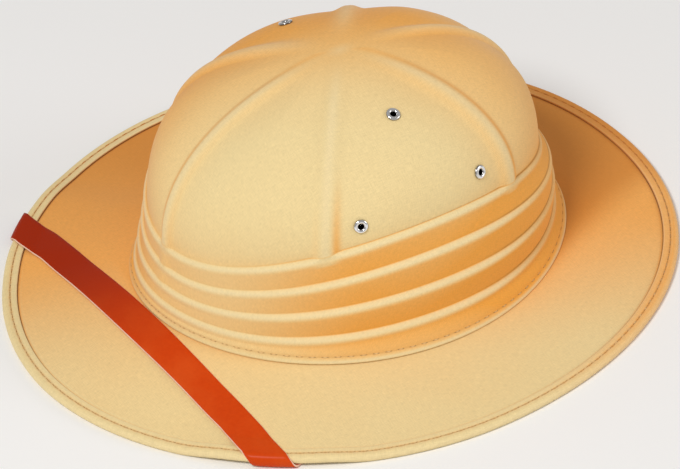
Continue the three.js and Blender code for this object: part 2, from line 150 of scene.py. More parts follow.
# %% [markdown]
# ## The outlines
#
# The brim is a superellipse whose lengths come from the frame's box of the bound edge. The
# crown's foot is a plain ellipse inside it. The brim lies level in a border round its
# edge, rises from there to the crown's foot, and is lifted a little where the strap wraps
# round it.

# %% The brim's surface
rim_low, rim_high = (np.array(corner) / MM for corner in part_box("edge_binding"))
GAP = 0.3
BRIM_WIDEST_Y = -3.8
BRIM_HALF_WIDTH = rim_high[0]
BRIM_FRONT_LENGTH = BRIM_WIDEST_Y - rim_low[1]
BRIM_BACK_LENGTH = rim_high[1] - BRIM_WIDEST_Y
BRIM_FRONT_SQUARENESS = 1.94
BRIM_BACK_SQUARENESS = 2.09
BRIM_THICKNESS = 2.2
BRIM_PINCHED = 1.6
BRIM_BORDER = 9.0
BINDING_THICKNESS = 1.0
BINDING_LAP = 7.4
RIM_MIDDLE_Z = BRIM_PINCHED / 2 + GAP + BINDING_THICKNESS
FOOT_HEIGHTS = (16.9, 12.5, 5.1, 3.4, 6.2)
FOOT_HALF_WIDTH = 87.2
FOOT_FRONT_LENGTH = 109.3
FOOT_BACK_LENGTH = 111.6
FOOT_CENTRE_Y = 6.0
STRAP_END_Y = -109.7
STRAP_EDGE_LIFT = 1.65
STRAP_LIFT_TOP = 8
STRAP_LIFT_REACH = 17


def strap_wrap_turn(side, inset=0.0):
    """Where the strap's line, side mm behind its middle, is inset mm from the brim's edge."""
    ahead = BRIM_WIDEST_Y - (STRAP_END_Y + side)
    return -np.arcsin((ahead / (BRIM_FRONT_LENGTH - inset)) ** (BRIM_FRONT_SQUARENESS / 2))


def rim_lift(turn):
    from_front = np.degrees(np.abs(np.arctan2(np.sin(turn + QUARTER), np.cos(turn + QUARTER))))
    from_wrap = np.abs(from_front - 90 - math.degrees(strap_wrap_turn(0)))
    return STRAP_EDGE_LIFT * (1 - ease(STRAP_LIFT_TOP, STRAP_LIFT_REACH, from_wrap))


def brim_edge(turn, inset=0.0):
    ahead = np.sin(turn) < 0
    length = np.where(ahead, BRIM_FRONT_LENGTH, BRIM_BACK_LENGTH) - inset
    squareness = np.where(ahead, BRIM_FRONT_SQUARENESS, BRIM_BACK_SQUARENESS)
    x = (BRIM_HALF_WIDTH - inset) * power(np.cos(turn), 2 / squareness)
    y = BRIM_WIDEST_Y + length * power(np.sin(turn), 2 / squareness)
    return x, y


def foot_outline(turn, reach=1.0, out=0.0):
    length = np.where(np.sin(turn) < 0, FOOT_FRONT_LENGTH, FOOT_BACK_LENGTH)
    x = (FOOT_HALF_WIDTH * reach + out) * np.cos(turn)
    y = FOOT_CENTRE_Y + (length * reach + out) * np.sin(turn)
    return x, y


def brim_span(turn):
    foot_x, foot_y = foot_outline(turn)
    edge_x, edge_y = brim_edge(turn)
    return np.hypot(edge_x - foot_x, edge_y - foot_y)


def brim_middle(turn, share, raised=0.0):
    """A point of the brim's middle surface: share is 0 at the crown and 1 at the edge."""
    foot_x, foot_y = foot_outline(turn)
    edge_x, edge_y = brim_edge(turn)
    foot_z = around(FOOT_HEIGHTS, turn) - GAP - BRIM_THICKNESS / 2
    rise = np.maximum(0, 1 - share / (1 - BRIM_BORDER / brim_span(turn)))
    z = blend(RIM_MIDDLE_Z, foot_z, rise) + rim_lift(turn) * (1 - rise) + raised
    return points(blend(foot_x, edge_x, share), blend(foot_y, edge_y, share), z)


def brim_at(turn, inset, raised=0.0):
    """The same, for a place inset mm in from the edge."""
    return brim_middle(turn, 1 - inset / brim_span(turn), raised)


brim_length = BRIM_FRONT_LENGTH + BRIM_BACK_LENGTH
print("brim is", round(2 * BRIM_HALF_WIDTH), "by", round(brim_length), "mm")

# %% [markdown]
# ## Making meshes from rows
#
# A lathe, a loft or a cloth simulation could make a hat's shell. A grid of rows and columns is
# used here, because each fold then has its own rows and each ridge its own columns, and the
# corners stay where the mould puts them. With each row go three values that the materials read,
# and all three paint light and shade into the colour. Fold is 1 in the bottom of a crease and
# paints amber shade there. Crest is 1 on top of a rounded edge and paints a pale highlight there.
# Seam is 1 in the dark line where two layers meet or a crease closes: painted shade in creases
# and gaps, and the darker lines of real joints. A UV map holds where each point lay in the flat
# cloth.

# %% The mesh makers
def grid_faces(rows, columns, closed_rows=False):
    row = np.arange(rows if closed_rows else rows - 1)[:, None]
    column = np.arange(columns)[None, :]
    below = (row + 1) % rows
    beside = (column + 1) % columns
    corners = [row * columns + column, below * columns + column,
               below * columns + beside, row * columns + beside]
    return np.stack(np.broadcast_arrays(*corners), axis=-1).reshape(-1, 4)


def tube_faces(stations, corners, base=0):
    """Faces along a tube, and one over each end. base is its first vertex."""
    faces = (grid_faces(stations, corners) + base).tolist()
    end = base + (stations - 1) * corners
    faces.append([base + corner for corner in range(corners)])
    faces.append([end + corner for corner in reversed(range(corners))])
    return faces


def make_mesh(name, vertices, faces, values=None, flat_cloth=None):
    """A smooth mesh object from points in mm, with named values and a UV map."""
    mesh = bpy.data.meshes.new(name)
    mesh.from_pydata((np.asarray(vertices) * MM).tolist(), [], faces)
    for value_name, value in (values or {}).items():
        attribute = mesh.attributes.new(value_name, "FLOAT", "POINT")
        attribute.data.foreach_set("value", np.asarray(value, np.float32).ravel())
    if flat_cloth is not None:
        corner_vertex = np.zeros(len(mesh.loops), np.int32)
        mesh.loops.foreach_get("vertex_index", corner_vertex)
        layer = mesh.uv_layers.new(name="flat_cloth")
        layer.uv.foreach_set("vector", (np.asarray(flat_cloth) * MM)[corner_vertex].ravel())
    mesh.polygons.foreach_set("use_smooth", np.ones(len(mesh.polygons), bool))
    mesh.update()
    piece = bpy.data.objects.new(name, mesh)
    bpy.context.scene.collection.objects.link(piece)
    return piece


def stack_rows(rows, columns):
    """Rows of (place, fold, crest, seam) as one grid of points and its named values."""
    values = {}
    for number, name in enumerate(("fold", "crest", "seam"), start=1):
        values[name] = np.array([row[number] + np.zeros(columns) for row in rows])
    return np.array([row[0] for row in rows]), values


def enclosed_volume(vertices, faces):
    corner = [vertices[faces[:, k]] for k in range(4)]
    first = np.einsum("ij,ij->i", corner[0], np.cross(corner[1], corner[2]))
    second = np.einsum("ij,ij->i", corner[0], np.cross(corner[2], corner[3]))
    return (first.sum() + second.sum()) / 6


def make_ring(name, sections, values=None, flat_cloth=None):
    """A closed ring: sections[row, column] go round the section and round the hat."""
    rows, columns, _ = sections.shape
    vertices = sections.reshape(-1, 3)
    faces = grid_faces(rows, columns, closed_rows=True)
    if enclosed_volume(vertices, faces) < 0:
        faces = faces[:, ::-1]
    flat = None if flat_cloth is None else flat_cloth.reshape(-1, 2)
    return make_mesh(name, vertices, faces.tolist(), values, flat)


def finish_piece(piece, slot, *nodes):
    """Ride with the hat's one body, and stand for the frame's plain node. The slot argument is
    not used.
    """
    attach(piece, "root")
    if nodes:
        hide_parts(*nodes)
    print(piece.name, "has", len(piece.data.polygons), "faces")

# %% [markdown]
# ## The crown's mould
#
# The crown is one sheet of cloth-covered foam pressed over a mould. Six ridges run from
# the foot to the top, and four pleats run round the lower wall. The top pleat is highest
# at the sides. Each pleat has a crease, a pale ledge, a round crest and a face that leans
# back in to the next crease. The lower three run on past the side ridges, and only the
# ridge in front breaks them, the lowest not at all. Every ridge breaks the top one.
#
# The turns and heights here belong to one hat. A rounder or taller crown needs other
# numbers and the same functions.

# %% The crown's surface
RIDGE_TURNS = np.radians(np.array([0, 58.2, 120.1, 180, 239.9, 301.8]) - 90)
PLEATS = table("reach_front reach_back heights", [
    (0.975, 0.950, (8.6, 9.8, 13.9, 11.6, 13.0)),
    (0.950, 0.951, (16.1, 21.9, 30.3, 24.9, 22.0)),
    (0.925, 0.942, (24.6, 34.7, 48.0, 39.2, 30.3)),
    (0.907, 0.899, (35.1, 47.8, 63.0, 52.1, 38.7)),
])
LOWEST, TOPMOST = PLEATS[0], PLEATS[-1]
CROWN_THICKNESS = 2.1
APEX_Z = 119.9
APEX_SHIFT_Y = 2.9
DOME_ROUNDNESS = 2.1
DOME_SIDE_ROUNDNESS = -0.11
PANEL_SINK = 1.0
PANEL_SWELL = 1.8
PANEL_SWELL_REACH = 30
PANEL_SWELL_CLIMB = 0.35
RIDGE_RISE = 1.2
RIDGE_FLAT = 0.9
RIDGE_FOOT = 7.6
APEX_RISE = 0.9
FRONT_FLATTENING = 0.35
FRONT_FLAT_ZONE = (-0.97, -0.55)
BACK_FLATTENING = 0.5
BACK_FLAT_ZONE = (0.1, 0.8)
BREAK_STRENGTHS = (0.0, 0.3, 0.65, 1.0)
APEX_SMOOTH = (10, 48)


def foot_height(turn):
    return around(FOOT_HEIGHTS, turn)


def pleat_height(pleat, turn):
    return foot_height(turn) + around(pleat["heights"], turn)


def pleat_reach(pleat, turn):
    return blend(pleat["reach_front"], pleat["reach_back"], (1 + np.sin(turn)) / 2)


def plan_radius(turn, reach=1.0):
    x, y = foot_outline(turn, reach)
    return np.hypot(x, y - FOOT_CENTRE_Y)


def ridge_distance(turn, radius, ridges=RIDGE_TURNS):
    """How far, in plan, each point is from the nearest ridge's line."""
    away = np.asarray(turn)[..., None] - ridges
    aside = np.abs(np.sin(away)) * np.asarray(radius)[..., None]
    return np.where(np.cos(away) > 0, aside, np.inf).min(axis=-1)


def ridge_share(distance):
    """1 on a ridge's flat crest, 0 at the foot of its flanks."""
    return 1 - ease(RIDGE_FLAT, RIDGE_FOOT, distance)


def turn_from_ridge(turn):
    """The turn from the nearest ridge, with its sign."""
    away = turn[..., None] - RIDGE_TURNS
    away = np.arctan2(np.sin(away), np.cos(away))
    nearest = np.abs(away).argmin(axis=-1)
    return np.take_along_axis(away, nearest[..., None], axis=-1)[..., 0]


def dome(turn, climb, depth=0.0):
    """The dome over the top pleat, climb 0 to 1, and how far each point is from a ridge."""
    angle = climb * QUARTER
    roundness = DOME_ROUNDNESS + DOME_SIDE_ROUNDNESS * np.cos(2 * turn)
    shrink = max(0.0, math.cos(angle)) ** (2 / roundness)
    height = math.sin(angle) ** (2 / roundness)
    reach = pleat_reach(TOPMOST, turn) * shrink
    x, y = foot_outline(turn, reach)
    z = blend(pleat_height(TOPMOST, turn), APEX_Z, height)
    facing = points(np.cos(turn) * reach, np.sin(turn) * reach, height)
    facing /= np.linalg.norm(facing, axis=-1, keepdims=True)
    radius = plan_radius(turn, reach)
    distance = ridge_distance(turn, radius)
    swell = ease(0, PANEL_SWELL_REACH, np.abs(turn_from_ridge(turn)) * radius)
    panel = -PANEL_SINK + PANEL_SWELL * swell * ease(0, PANEL_SWELL_CLIMB, climb)
    risen = blend(panel, RIDGE_RISE, ridge_share(distance))
    offset = blend(APEX_RISE, risen, ease(*APEX_SMOOTH, radius)) - depth
    return points(x, y + APEX_SHIFT_Y * height, z) + facing * offset[..., None], distance


def pleat_broken(pleat, turn):
    """1 where a ridge runs through a pleat and fills its crease, less in lower pleats."""
    ridges = RIDGE_TURNS if pleat is TOPMOST else RIDGE_TURNS[:1]
    distance = ridge_distance(turn, plan_radius(turn, pleat_reach(pleat, turn)), ridges)
    return BREAK_STRENGTHS[PLEATS.index(pleat)] * ridge_share(distance)


def pleat_fullness(turn):
    """The pleats are pressed flatter in front, and flatter still round the back."""
    front = FRONT_FLATTENING * (1 - ease(*FRONT_FLAT_ZONE, np.sin(turn)))
    return 1 - front - BACK_FLATTENING * ease(*BACK_FLAT_ZONE, np.sin(turn))


def pleat_ring(pleat, out, up, turn, inward=0.0):
    """One line of a pleat: out and up are from the middle of its ledge."""
    out = out * pleat_fullness(turn)
    filled = blend(out, np.maximum(out, RIDGE_RISE), pleat_broken(pleat, turn)) - inward
    x, y = foot_outline(turn, pleat_reach(pleat, turn), filled)
    return points(x, y, pleat_height(pleat, turn) + up)


def foot_ring(turn, out, height):
    x, y = foot_outline(turn, 1.0, out)
    return points(x, y, foot_height(turn) + height)


print("crown's top is", round(APEX_Z + APEX_RISE, 1), "mm above the floor")

# %% [markdown]
# ## The crown's rows
#
# The rows run from the top down the outside, round the foot and up the inside, so that the shell
# is one closed body with a real wall. Columns crowd together beside the ridges, where the shape
# turns fastest. Each ridge has a painted highlight along its top and painted shade along its
# flanks, most on the flank that turns from the sun.

# %% Rows of the dome
COLUMNS_PER_PANEL = 96
DOME_ROWS = 46
DOME_CLIMBS = (0.016, 0.985)
DOME_CROWDING = 1.2
SUNNY_SIDE = (0.6, -0.8)
SUN_TURN = math.radians(-27)
SUNLIT = (-0.5, 0.2)
SUN_FACING = (0.7, 0.98)
SUNNY_CLIMB = (0.02, 0.5)
FLANK_FADE = 0.85
FLANK_FACING = (-0.5, 0.3)
FLANK_PLACE, FLANK_WIDTH, FLANK_PAINTED_SHADE = 4.4, 1.9, 0.8
SHADE_FADE_UP = 0.85
HOLLOW_SHADE, HOLLOW_CLIMB = 0.3, 0.03
CREST_WIDTHS = (4.6, 2.2)
CREST_PALENESS = 0.7
CREST_END = (0.7, 0.95)


def panel_turns(per_panel, crowding=0.5):
    share = np.arange(per_panel) / per_panel
    share = share - crowding * np.sin(2 * math.pi * share) / (2 * math.pi)
    ends = np.append(RIDGE_TURNS[1:], RIDGE_TURNS[0] + 2 * math.pi)
    return np.concatenate([blend(a, b, share) for a, b in zip(RIDGE_TURNS, ends)])


def facing_sun(turn, limits):
    """0 on the side away from the sun, 1 on the side towards it."""
    return ease(*limits, np.cos(turn - SUN_TURN))


def flank_shade(turn):
    """1 on the flanks that turn from the sunny side, near 0 on those that face it."""
    across = np.cos(turn) * SUNNY_SIDE[1] - np.sin(turn) * SUNNY_SIDE[0]
    faces = np.sign(turn_from_ridge(turn)) * across
    return (1 - FLANK_FADE * ease(*FLANK_FACING, faces)) * facing_sun(turn, SUNLIT)


def dome_rows(turn):
    """The dome's rings from the top down: painted shade beside the ridges, painted highlights on
    them.
    """
    crest_width = blend(*CREST_WIDTHS, facing_sun(turn, SUNLIT))
    for step in range(DOME_ROWS):
        climb = 1 - (step + 1) / DOME_ROWS
        climb = blend(*DOME_CLIMBS, climb ** DOME_CROWDING)
        place, distance = dome(turn, climb)
        # Painted light: the flank shade is taken away high on the sunny side.
        lit_by_sun = facing_sun(turn, SUN_FACING) * ease(*SUNNY_CLIMB, climb)
        upward = (1 - SHADE_FADE_UP * climb) * (1 - lit_by_sun)
        flank = bump(FLANK_PLACE, FLANK_WIDTH, distance) * upward * flank_shade(turn)
        hollow = HOLLOW_SHADE * math.exp(-climb / HOLLOW_CLIMB) * (1 - ridge_share(distance))
        crest = CREST_PALENESS * bump(0, crest_width, distance) * (1 - ease(*CREST_END, climb))
        yield place, np.clip(FLANK_PAINTED_SHADE * flank + hollow, 0, 1), crest, 0


crown_turns = panel_turns(COLUMNS_PER_PANEL)
print("crown has", len(crown_turns), "columns, and", DOME_ROWS, "rows on its dome")

# %% [markdown]
# ## The pleats
#
# The section of a pleat is a short table, and the faces between pleats are blended from one
# section to the next. The fold value paints amber shade in the creases and down the faces, weaker
# in front and round the back, and the crest value paints highlights along the crests, fading
# towards the back.

# %% Rows of the pleats
# In each section, fold paints shade in the crease and down the face, crest paints highlights on
# the ledge and crest, and seam paints a dark line of shade in the crease.
PLEAT_SECTION = table("out up fold crest seam", [
    (-1.25, 0.90, 0.90, 0.0, 1.00),
    (-0.95, 0.72, 0.25, 0.1, 0.35),
    (-0.40, 0.46, 0.00, 0.5, 0.00),
    (0.20, 0.08, 0.00, 0.8, 0.00),
    (0.80, -0.40, 0.00, 1.0, 0.00),
    (1.22, -0.98, 0.10, 0.8, 0.00),
    (1.46, -1.70, 0.35, 0.4, 0.00),
    (1.52, -2.60, 0.62, 0.1, 0.00),
    (1.46, -3.40, 0.78, 0.0, 0.00),
])
FACE_SHARES = (0.14, 0.3, 0.46, 0.62, 0.76, 0.88, 0.96)
FACE_FOLD = 0.95
FACE_DARKENING = 0.6
LAST_FACE_SHARE, LAST_FACE_LINE_SHADE = 0.95, 0.5
SHADE_IN_FRONT, SHADE_FRONT_ZONE = 0.25, (-0.98, -0.35)
SHADE_LOSS_BEHIND, SHADE_BACK_ZONE = 0.4, (0.45, 0.85)
CREST_LOSS_BEHIND, CREST_BACK_ZONE = 0.75, (0.3, 0.75)
CREASE_LINE_SHADES, CREASE_ZONE = (0.08, 0.6), (0.1, 0.6)
BROKEN_FOLD_LOSS, BROKEN_CREST_LOSS = 0.7, 0.5


def face_shade_strength(turn):
    """The painted shade on the faces is lighter in front and a little round the back, not at the
    sides.
    """
    front = blend(SHADE_IN_FRONT, 1.0, ease(*SHADE_FRONT_ZONE, np.sin(turn)))
    return front * (1 - SHADE_LOSS_BEHIND * ease(*SHADE_BACK_ZONE, np.sin(turn)))


def crest_strength(turn):
    """The painted highlights on the crests fade towards the back, where the pleats are pressed
    flatter.
    """
    return 1 - CREST_LOSS_BEHIND * ease(*CREST_BACK_ZONE, np.sin(turn))


def crease_line_shade(turn):
    """The painted dark line in each crease grows stronger towards the back, where the creases
    close up.
    """
    return blend(*CREASE_LINE_SHADES, ease(*CREASE_ZONE, np.sin(turn)))


def pleat_line(pleat, part, turn):
    return pleat_ring(pleat, part["out"], part["up"], turn)


def pleat_rows(turn):
    """Every ring from the top pleat's crease down to the lowest pleat's lip."""
    level = face_shade_strength(turn)
    lip, crease = PLEAT_SECTION[-1], PLEAT_SECTION[0]
    for pleat in reversed(PLEATS):
        broken = pleat_broken(pleat, turn)
        for part in PLEAT_SECTION:
            fold = part["fold"] * level * (1 - BROKEN_FOLD_LOSS * broken)
            crest = part["crest"] * crest_strength(turn) * (1 - BROKEN_CREST_LOSS * broken)
            # Painted shade: a dark line along the crease.
            seam = part["seam"] * crease_line_shade(turn) * (1 - broken)
            yield pleat_line(pleat, part, turn), fold, crest, seam
        if pleat is LOWEST:
            continue
        below = PLEATS[PLEATS.index(pleat) - 1]
        start, end = pleat_line(pleat, lip, turn), pleat_line(below, crease, turn)
        for share in FACE_SHARES:
            fold = blend(lip["fold"], FACE_FOLD, share ** FACE_DARKENING) * level
            seam = LAST_FACE_LINE_SHADE * crease_line_shade(turn) * (share > LAST_FACE_SHARE)
            yield blend(start, end, share), fold, 0, seam


print("pleats have", len(list(pleat_rows(crown_turns))), "rows")

# %% [markdown]
# ## The band and the hem
#
# Under the lowest pleat a plain band runs down to a turned hem with one row of stitches.
# A straight strip would be simpler, but the band stands out further at the sides, and the
# hem is drawn in along its stitches.

# %% Rows of the band and the hem
STITCH_HEIGHT = 3.0
HEM = table("out height fold crest seam", [
    (-0.75, 3.80, 0.60, 0.0, 0.00),
    (-0.95, STITCH_HEIGHT, 0.56, 0.0, 0.12),
    (-0.75, 2.50, 0.45, 0.0, 0.03),
    (-0.50, 2.00, 0.35, 0.1, 0.00),
    (-0.30, 1.50, 0.15, 0.4, 0.00),
    (-0.05, 1.05, 0.00, 0.9, 0.00),
    (0.10, 0.55, 0.00, 1.0, 0.00),
    (0.04, 0.00, 0.10, 0.6, 0.00),
    (-0.60, -0.15, 0.40, 0.0, 0.00),
])
HEM_BLEND = (1.2, 3.8)
BAND_END_OUT, HEM_WALL_OUT = 0.05, 0.7
HEM_FLARE = (0.0, 1.8, 3.0, 0.6, 0.0)
BAND_SHARES = (0.25, 0.5, 0.75)
BAND_FOLD = 0.58
LIP_DROP = 2.6
LIP_OUT = 1.8
FOOT_TUCK = 0.6


def crown_wall_out(turn, height):
    """How far the plain wall under the lowest pleat stands out from the foot's outline."""
    lip_height = around(LOWEST["heights"], turn) - LIP_DROP
    lip_out = (pleat_reach(LOWEST, turn) - 1) * plan_radius(turn) + LIP_OUT
    return blend(-FOOT_TUCK, lip_out, np.clip(height / lip_height, 0, 1))


def hem_flare(turn, height):
    """How much further out the plain band stands at the sides, most at its foot."""
    share = np.clip(1 - height / around(LOWEST["heights"], turn), 0, 1)
    return np.maximum(0, around(HEM_FLARE, turn)) * share


def hem_rows(turn):
    """From the lowest lip down the plain band to the stitched lower edge."""
    level = face_shade_strength(turn)
    lip, first = PLEAT_SECTION[-1], HEM[0]
    start = pleat_line(LOWEST, lip, turn)
    height = first["height"]
    out = crown_wall_out(turn, height) + BAND_END_OUT + hem_flare(turn, height)
    end = foot_ring(turn, out, height)
    for share in BAND_SHARES:
        yield blend(start, end, share), blend(lip["fold"], BAND_FOLD, share) * level, 0, 0
    for part in HEM:
        height = part["height"]
        on_wall = part["out"] + HEM_WALL_OUT + crown_wall_out(turn, height)
        out = blend(part["out"], on_wall, ease(*HEM_BLEND, height)) + hem_flare(turn, height)
        fold, crest = part["fold"] * level, part["crest"] * level
        yield foot_ring(turn, out, height), fold, crest, part["seam"]


print("band and hem have", len(list(hem_rows(crown_turns))), "rows")

# %% [markdown]
# ## The inside, and one closed shell
#
# A Solidify modifier could give the crown its wall, but it would copy every fold inwards
# and run into itself in the creases. The inside has plainer rows of its own instead. A fan
# of triangles closes the top outside, and another closes it inside.

# %% Make the crown
COLLAR_HEIGHT = 6.0
LINING_ROWS = 18
LINING_HEIGHTS = (2.0, 4.0, COLLAR_HEIGHT)
LINING_CLIMBS = (0.06, 0.97)
LINING_CROWDING = 0.9
LINING_SHADE = 0.3
LINING_INWARD = 0.92


def lining_rows(turn):
    """The inside of the shell, from the foot up."""
    yield foot_ring(turn, -FOOT_TUCK - CROWN_THICKNESS, 0)
    for height in LINING_HEIGHTS:
        yield foot_ring(turn, crown_wall_out(turn, height) - CROWN_THICKNESS, height)
    drop = CROWN_THICKNESS / 2
    inward = CROWN_THICKNESS * LINING_INWARD
    for pleat in PLEATS:
        lines = PLEAT_SECTION[::-2] if pleat is not LOWEST else PLEAT_SECTION[:1]
        for part in lines:
            yield pleat_ring(pleat, part["out"], part["up"] - drop, turn, inward)
    for share in np.linspace(0, 1, LINING_ROWS):
        climb = blend(*LINING_CLIMBS, share ** LINING_CROWDING)
        yield dome(turn, climb, CROWN_THICKNESS)[0]


def make_crown(turn):
    outside = [*dome_rows(turn), *pleat_rows(turn), *hem_rows(turn)]
    # Painted shade inside the crown.
    inside = [(row, LINING_SHADE, 0, 0) for row in lining_rows(turn)]
    rows, values = stack_rows(outside + inside, len(turn))
    top = dome(turn[:1], 1.0)[0][0]
    under_top = dome(turn[:1], 1.0, CROWN_THICKNESS)[0][0]
    step = np.linalg.norm(np.diff(rows, axis=0, prepend=rows[:1] * 0 + top), axis=-1)
    length = np.cumsum(step, axis=0)
    count = len(outside)
    length[count:] = length[-1] + np.linalg.norm(rows[-1] - under_top, axis=-1) - length[count:]
    flat = points(length * np.cos(turn), length * np.sin(turn))
    columns = len(turn)
    body = grid_faces(len(rows), columns).tolist()
    first, last = len(rows) * columns, len(rows) * columns + 1
    base = (len(rows) - 1) * columns
    for column in range(columns):
        beside = (column + 1) % columns
        body.append([first, column, beside])
        body.append([base + column, last, base + beside])
    vertices = np.vstack([rows.reshape(-1, 3), [top, under_top]])
    ends = {"fold": [0, LINING_SHADE], "crest": [0.5, 0], "seam": [0, 0]}
    values = {name: np.append(value.ravel(), ends[name]) for name, value in values.items()}
    flat = np.vstack([flat.reshape(-1, 2), [[0, 0], [0, 0]]])
    return make_mesh("crown_cloth", vertices, body, values, flat)


crown = make_crown(crown_turns)
print("crown has", len(crown.data.vertices), "points before drilling")

# %% [markdown]
# ## Holes for the eyelets
#
# The eyelets are real rings in real holes, so that light and air get through. Holes could
# be painted on as dark spots, but they would be wrong from the side. A Boolean modifier
# drills all six with one object of six cylinders, and the result replaces the mesh. Any
# sliver that the cut leaves is dissolved, so that the shell stays closed.

# %% Drill the crown
EYELETS = [
    dict(name="top", turn=-0.8, climb=0.6),
    dict(name="front", turn=-21.5, climb=0.125),
    dict(name="rear", turn=18.5, climb=0.163),
]
EYELET_HOLE_RADIUS = 1.3
EYELET_BARREL_RADIUS = 2.0
DRILL_SIDES = 32
NEARBY = 0.01
SHORTEST_EDGE = 0.002


def eyelet_seats():
    """Each eyelet's node name, its place on the crown and the way out through the wall."""
    for label, side in (("left", 1), ("right", -1)):
        for row in EYELETS:
            turn = math.radians(row["turn"])
            turn = np.array([turn if side > 0 else math.pi - turn])
            climb = row["climb"]
            place = dome(turn, climb)[0][0]
            along = dome(turn + NEARBY, climb)[0][0] - dome(turn - NEARBY, climb)[0][0]
            up = dome(turn, climb + NEARBY)[0][0] - dome(turn, climb - NEARBY)[0][0]
            axis = Vector(np.cross(along, up)).normalized()
            yield f"eyelet_{label}_{row['name']}", Vector(place), axis


def turned(profile, sides):
    """A closed profile of (radius, height) turned about Z."""
    angle = np.arange(sides) * 2 * math.pi / sides
    profile = np.array(profile)
    radius, height = profile[:, 0, None], profile[:, 1, None]
    return points(radius * np.cos(angle), radius * np.sin(angle), height)


def drill_crown(crown):
    radius = EYELET_BARREL_RADIUS + GAP
    reach = 3 * CROWN_THICKNESS
    sides = DRILL_SIDES
    vertices, faces = [], []
    for _, place, axis in eyelet_seats():
        spin = axis.to_track_quat("Z", "Y")
        ring = turned([(radius, -reach), (radius, reach)], sides).reshape(-1, 3)
        start = len(vertices)
        vertices += [place + spin @ Vector(corner) for corner in ring]
        for side in range(sides):
            beside = (side + 1) % sides
            faces.append([start + side, start + beside,
                          start + sides + beside, start + sides + side])
        faces.append([start + side for side in reversed(range(sides))])
        faces.append([start + sides + side for side in range(sides)])
    drill = make_mesh("drill", np.array(vertices), faces)
    cut = crown.modifiers.new("holes", "BOOLEAN")
    cut.operation = "DIFFERENCE"
    cut.solver = "MANIFOLD"
    cut.object = drill
    cut_crown = crown.evaluated_get(bpy.context.evaluated_depsgraph_get())
    mesh = bpy.data.meshes.new_from_object(cut_crown)
    mesh.materials.clear()
    shape = bmesh.new()
    shape.from_mesh(mesh)
    bmesh.ops.dissolve_degenerate(shape, dist=SHORTEST_EDGE * MM, edges=shape.edges)
    shape.to_mesh(mesh)
    shape.free()
    crown.modifiers.clear()
    crown.data = mesh
    bpy.data.objects.remove(drill)
    mesh.polygons.foreach_set("use_smooth", np.ones(len(mesh.polygons), bool))
    return len(mesh.polygons)


print("crown has", drill_crown(crown), "faces after drilling,",
      "and keeps the map", crown.data.uv_layers[0].name)
finish_piece(crown, "crown_cloth", "crown")

# %% [markdown]
# ## The brim
#
# The brim is a board covered with cloth above and below. Its inner edge turns up into a collar
# that is sewn inside the crown. It isn't quite flat: the board has slow, shallow waves that catch
# the light. Those are a few low cosine waves, far under a millimetre high, so they never reach
# the strap. The board is pinched thinner under the tape. Its colour is deeper beside the crown,
# which is painted shade, and in front, which is dye. Painted shade also darkens its underside and
# the line where the tape's lip meets it.

# %% Make the brim
BRIM_COLUMNS = 480
COLLAR_THICKNESS = 1.9
BOARD_ROWS, BOARD_END, BOARD_CROWDING = 28, 0.985, 1.15
BRIM_WAVES = table("height round phase along start", [
    (0.16, 3, 0.7, 2.1, 0.0),
    (0.08, 7, 2.0, 3.3, 0.8),
])
WAVES_START, WAVES_END = (0, 0.15), (0.85, 1)
BRIM_FRONT_DYE = 0.28
BRIM_FRONT_ZONE = (0.5, 1)
BRIM_FRONT_FADE = 0.6
BESIDE_CROWN_SHADE, BESIDE_CROWN_REACH = 0.3, 3.5
BESIDE_CROWN_LINE_SHADE, BESIDE_CROWN_LINE_SHADE_REACH = 0.05, 1.2
UNDERSIDE_SHADE = 0.15
JOINT_SEAM = 0.3
# At the tape's lap, fold and seam paint the shade in the gap under the tape's lip.
BRIM_EDGE = table("inset face fullness fold seam", [
    (BRIM_BORDER, 1, 1.0, 0.0, 0.0),
    (BINDING_LAP + 0.85, 1, 0.6, 0.2, 0.0),
    (BINDING_LAP + 0.4, 1, 0.4, 0.5, 0.35),
    (BINDING_LAP + 0.05, 1, 0.25, 1.0, 1.0),
    (BINDING_LAP - 1, 1, 0.0, 1.0, 1.0),
    (BINDING_THICKNESS + GAP, 1, 0.0, 1.0, 0.0),
    (BINDING_THICKNESS + GAP, -1, 0.0, 1.0, 0.0),
    (BINDING_LAP - 1, -1, 0.0, 1.0, 1.0),
    (BINDING_LAP + 0.4, -1, 0.4, 0.3, 0.2),
    (BRIM_BORDER, -1, 1.0, 0.0, 0.0),
])
COLLAR = table("depth height fold seam", [
    (COLLAR_THICKNESS, -GAP - BRIM_THICKNESS, 0.2, JOINT_SEAM),
    (COLLAR_THICKNESS, -1.0, 0.2, 0.0),
    (COLLAR_THICKNESS, 1.5, 0.2, 0.0),
    (COLLAR_THICKNESS, 4.0, 0.2, 0.0),
    (COLLAR_THICKNESS, COLLAR_HEIGHT - 0.5, 0.2, 0.0),
    (COLLAR_THICKNESS / 2, COLLAR_HEIGHT, 0.0, 0.0),
    (0, COLLAR_HEIGHT - 0.5, 0.6, 0.0),
    (0, 3.0, 0.6, 0.0),
])


def collar_ring(turn, depth, height):
    out = crown_wall_out(turn, height) - CROWN_THICKNESS - GAP - depth
    return foot_ring(turn, out, height)


def brim_wave(turn, progress):
    """progress is 0 at the crown and 1 where the level border starts."""
    waves = sum(
        wave["height"] * np.cos(wave["round"] * turn + wave["phase"])
        * np.sin(wave["along"] * math.pi * progress + wave["start"])
        for wave in BRIM_WAVES
    )
    return waves * ease(*WAVES_START, progress) * (1 - ease(*WAVES_END, progress))


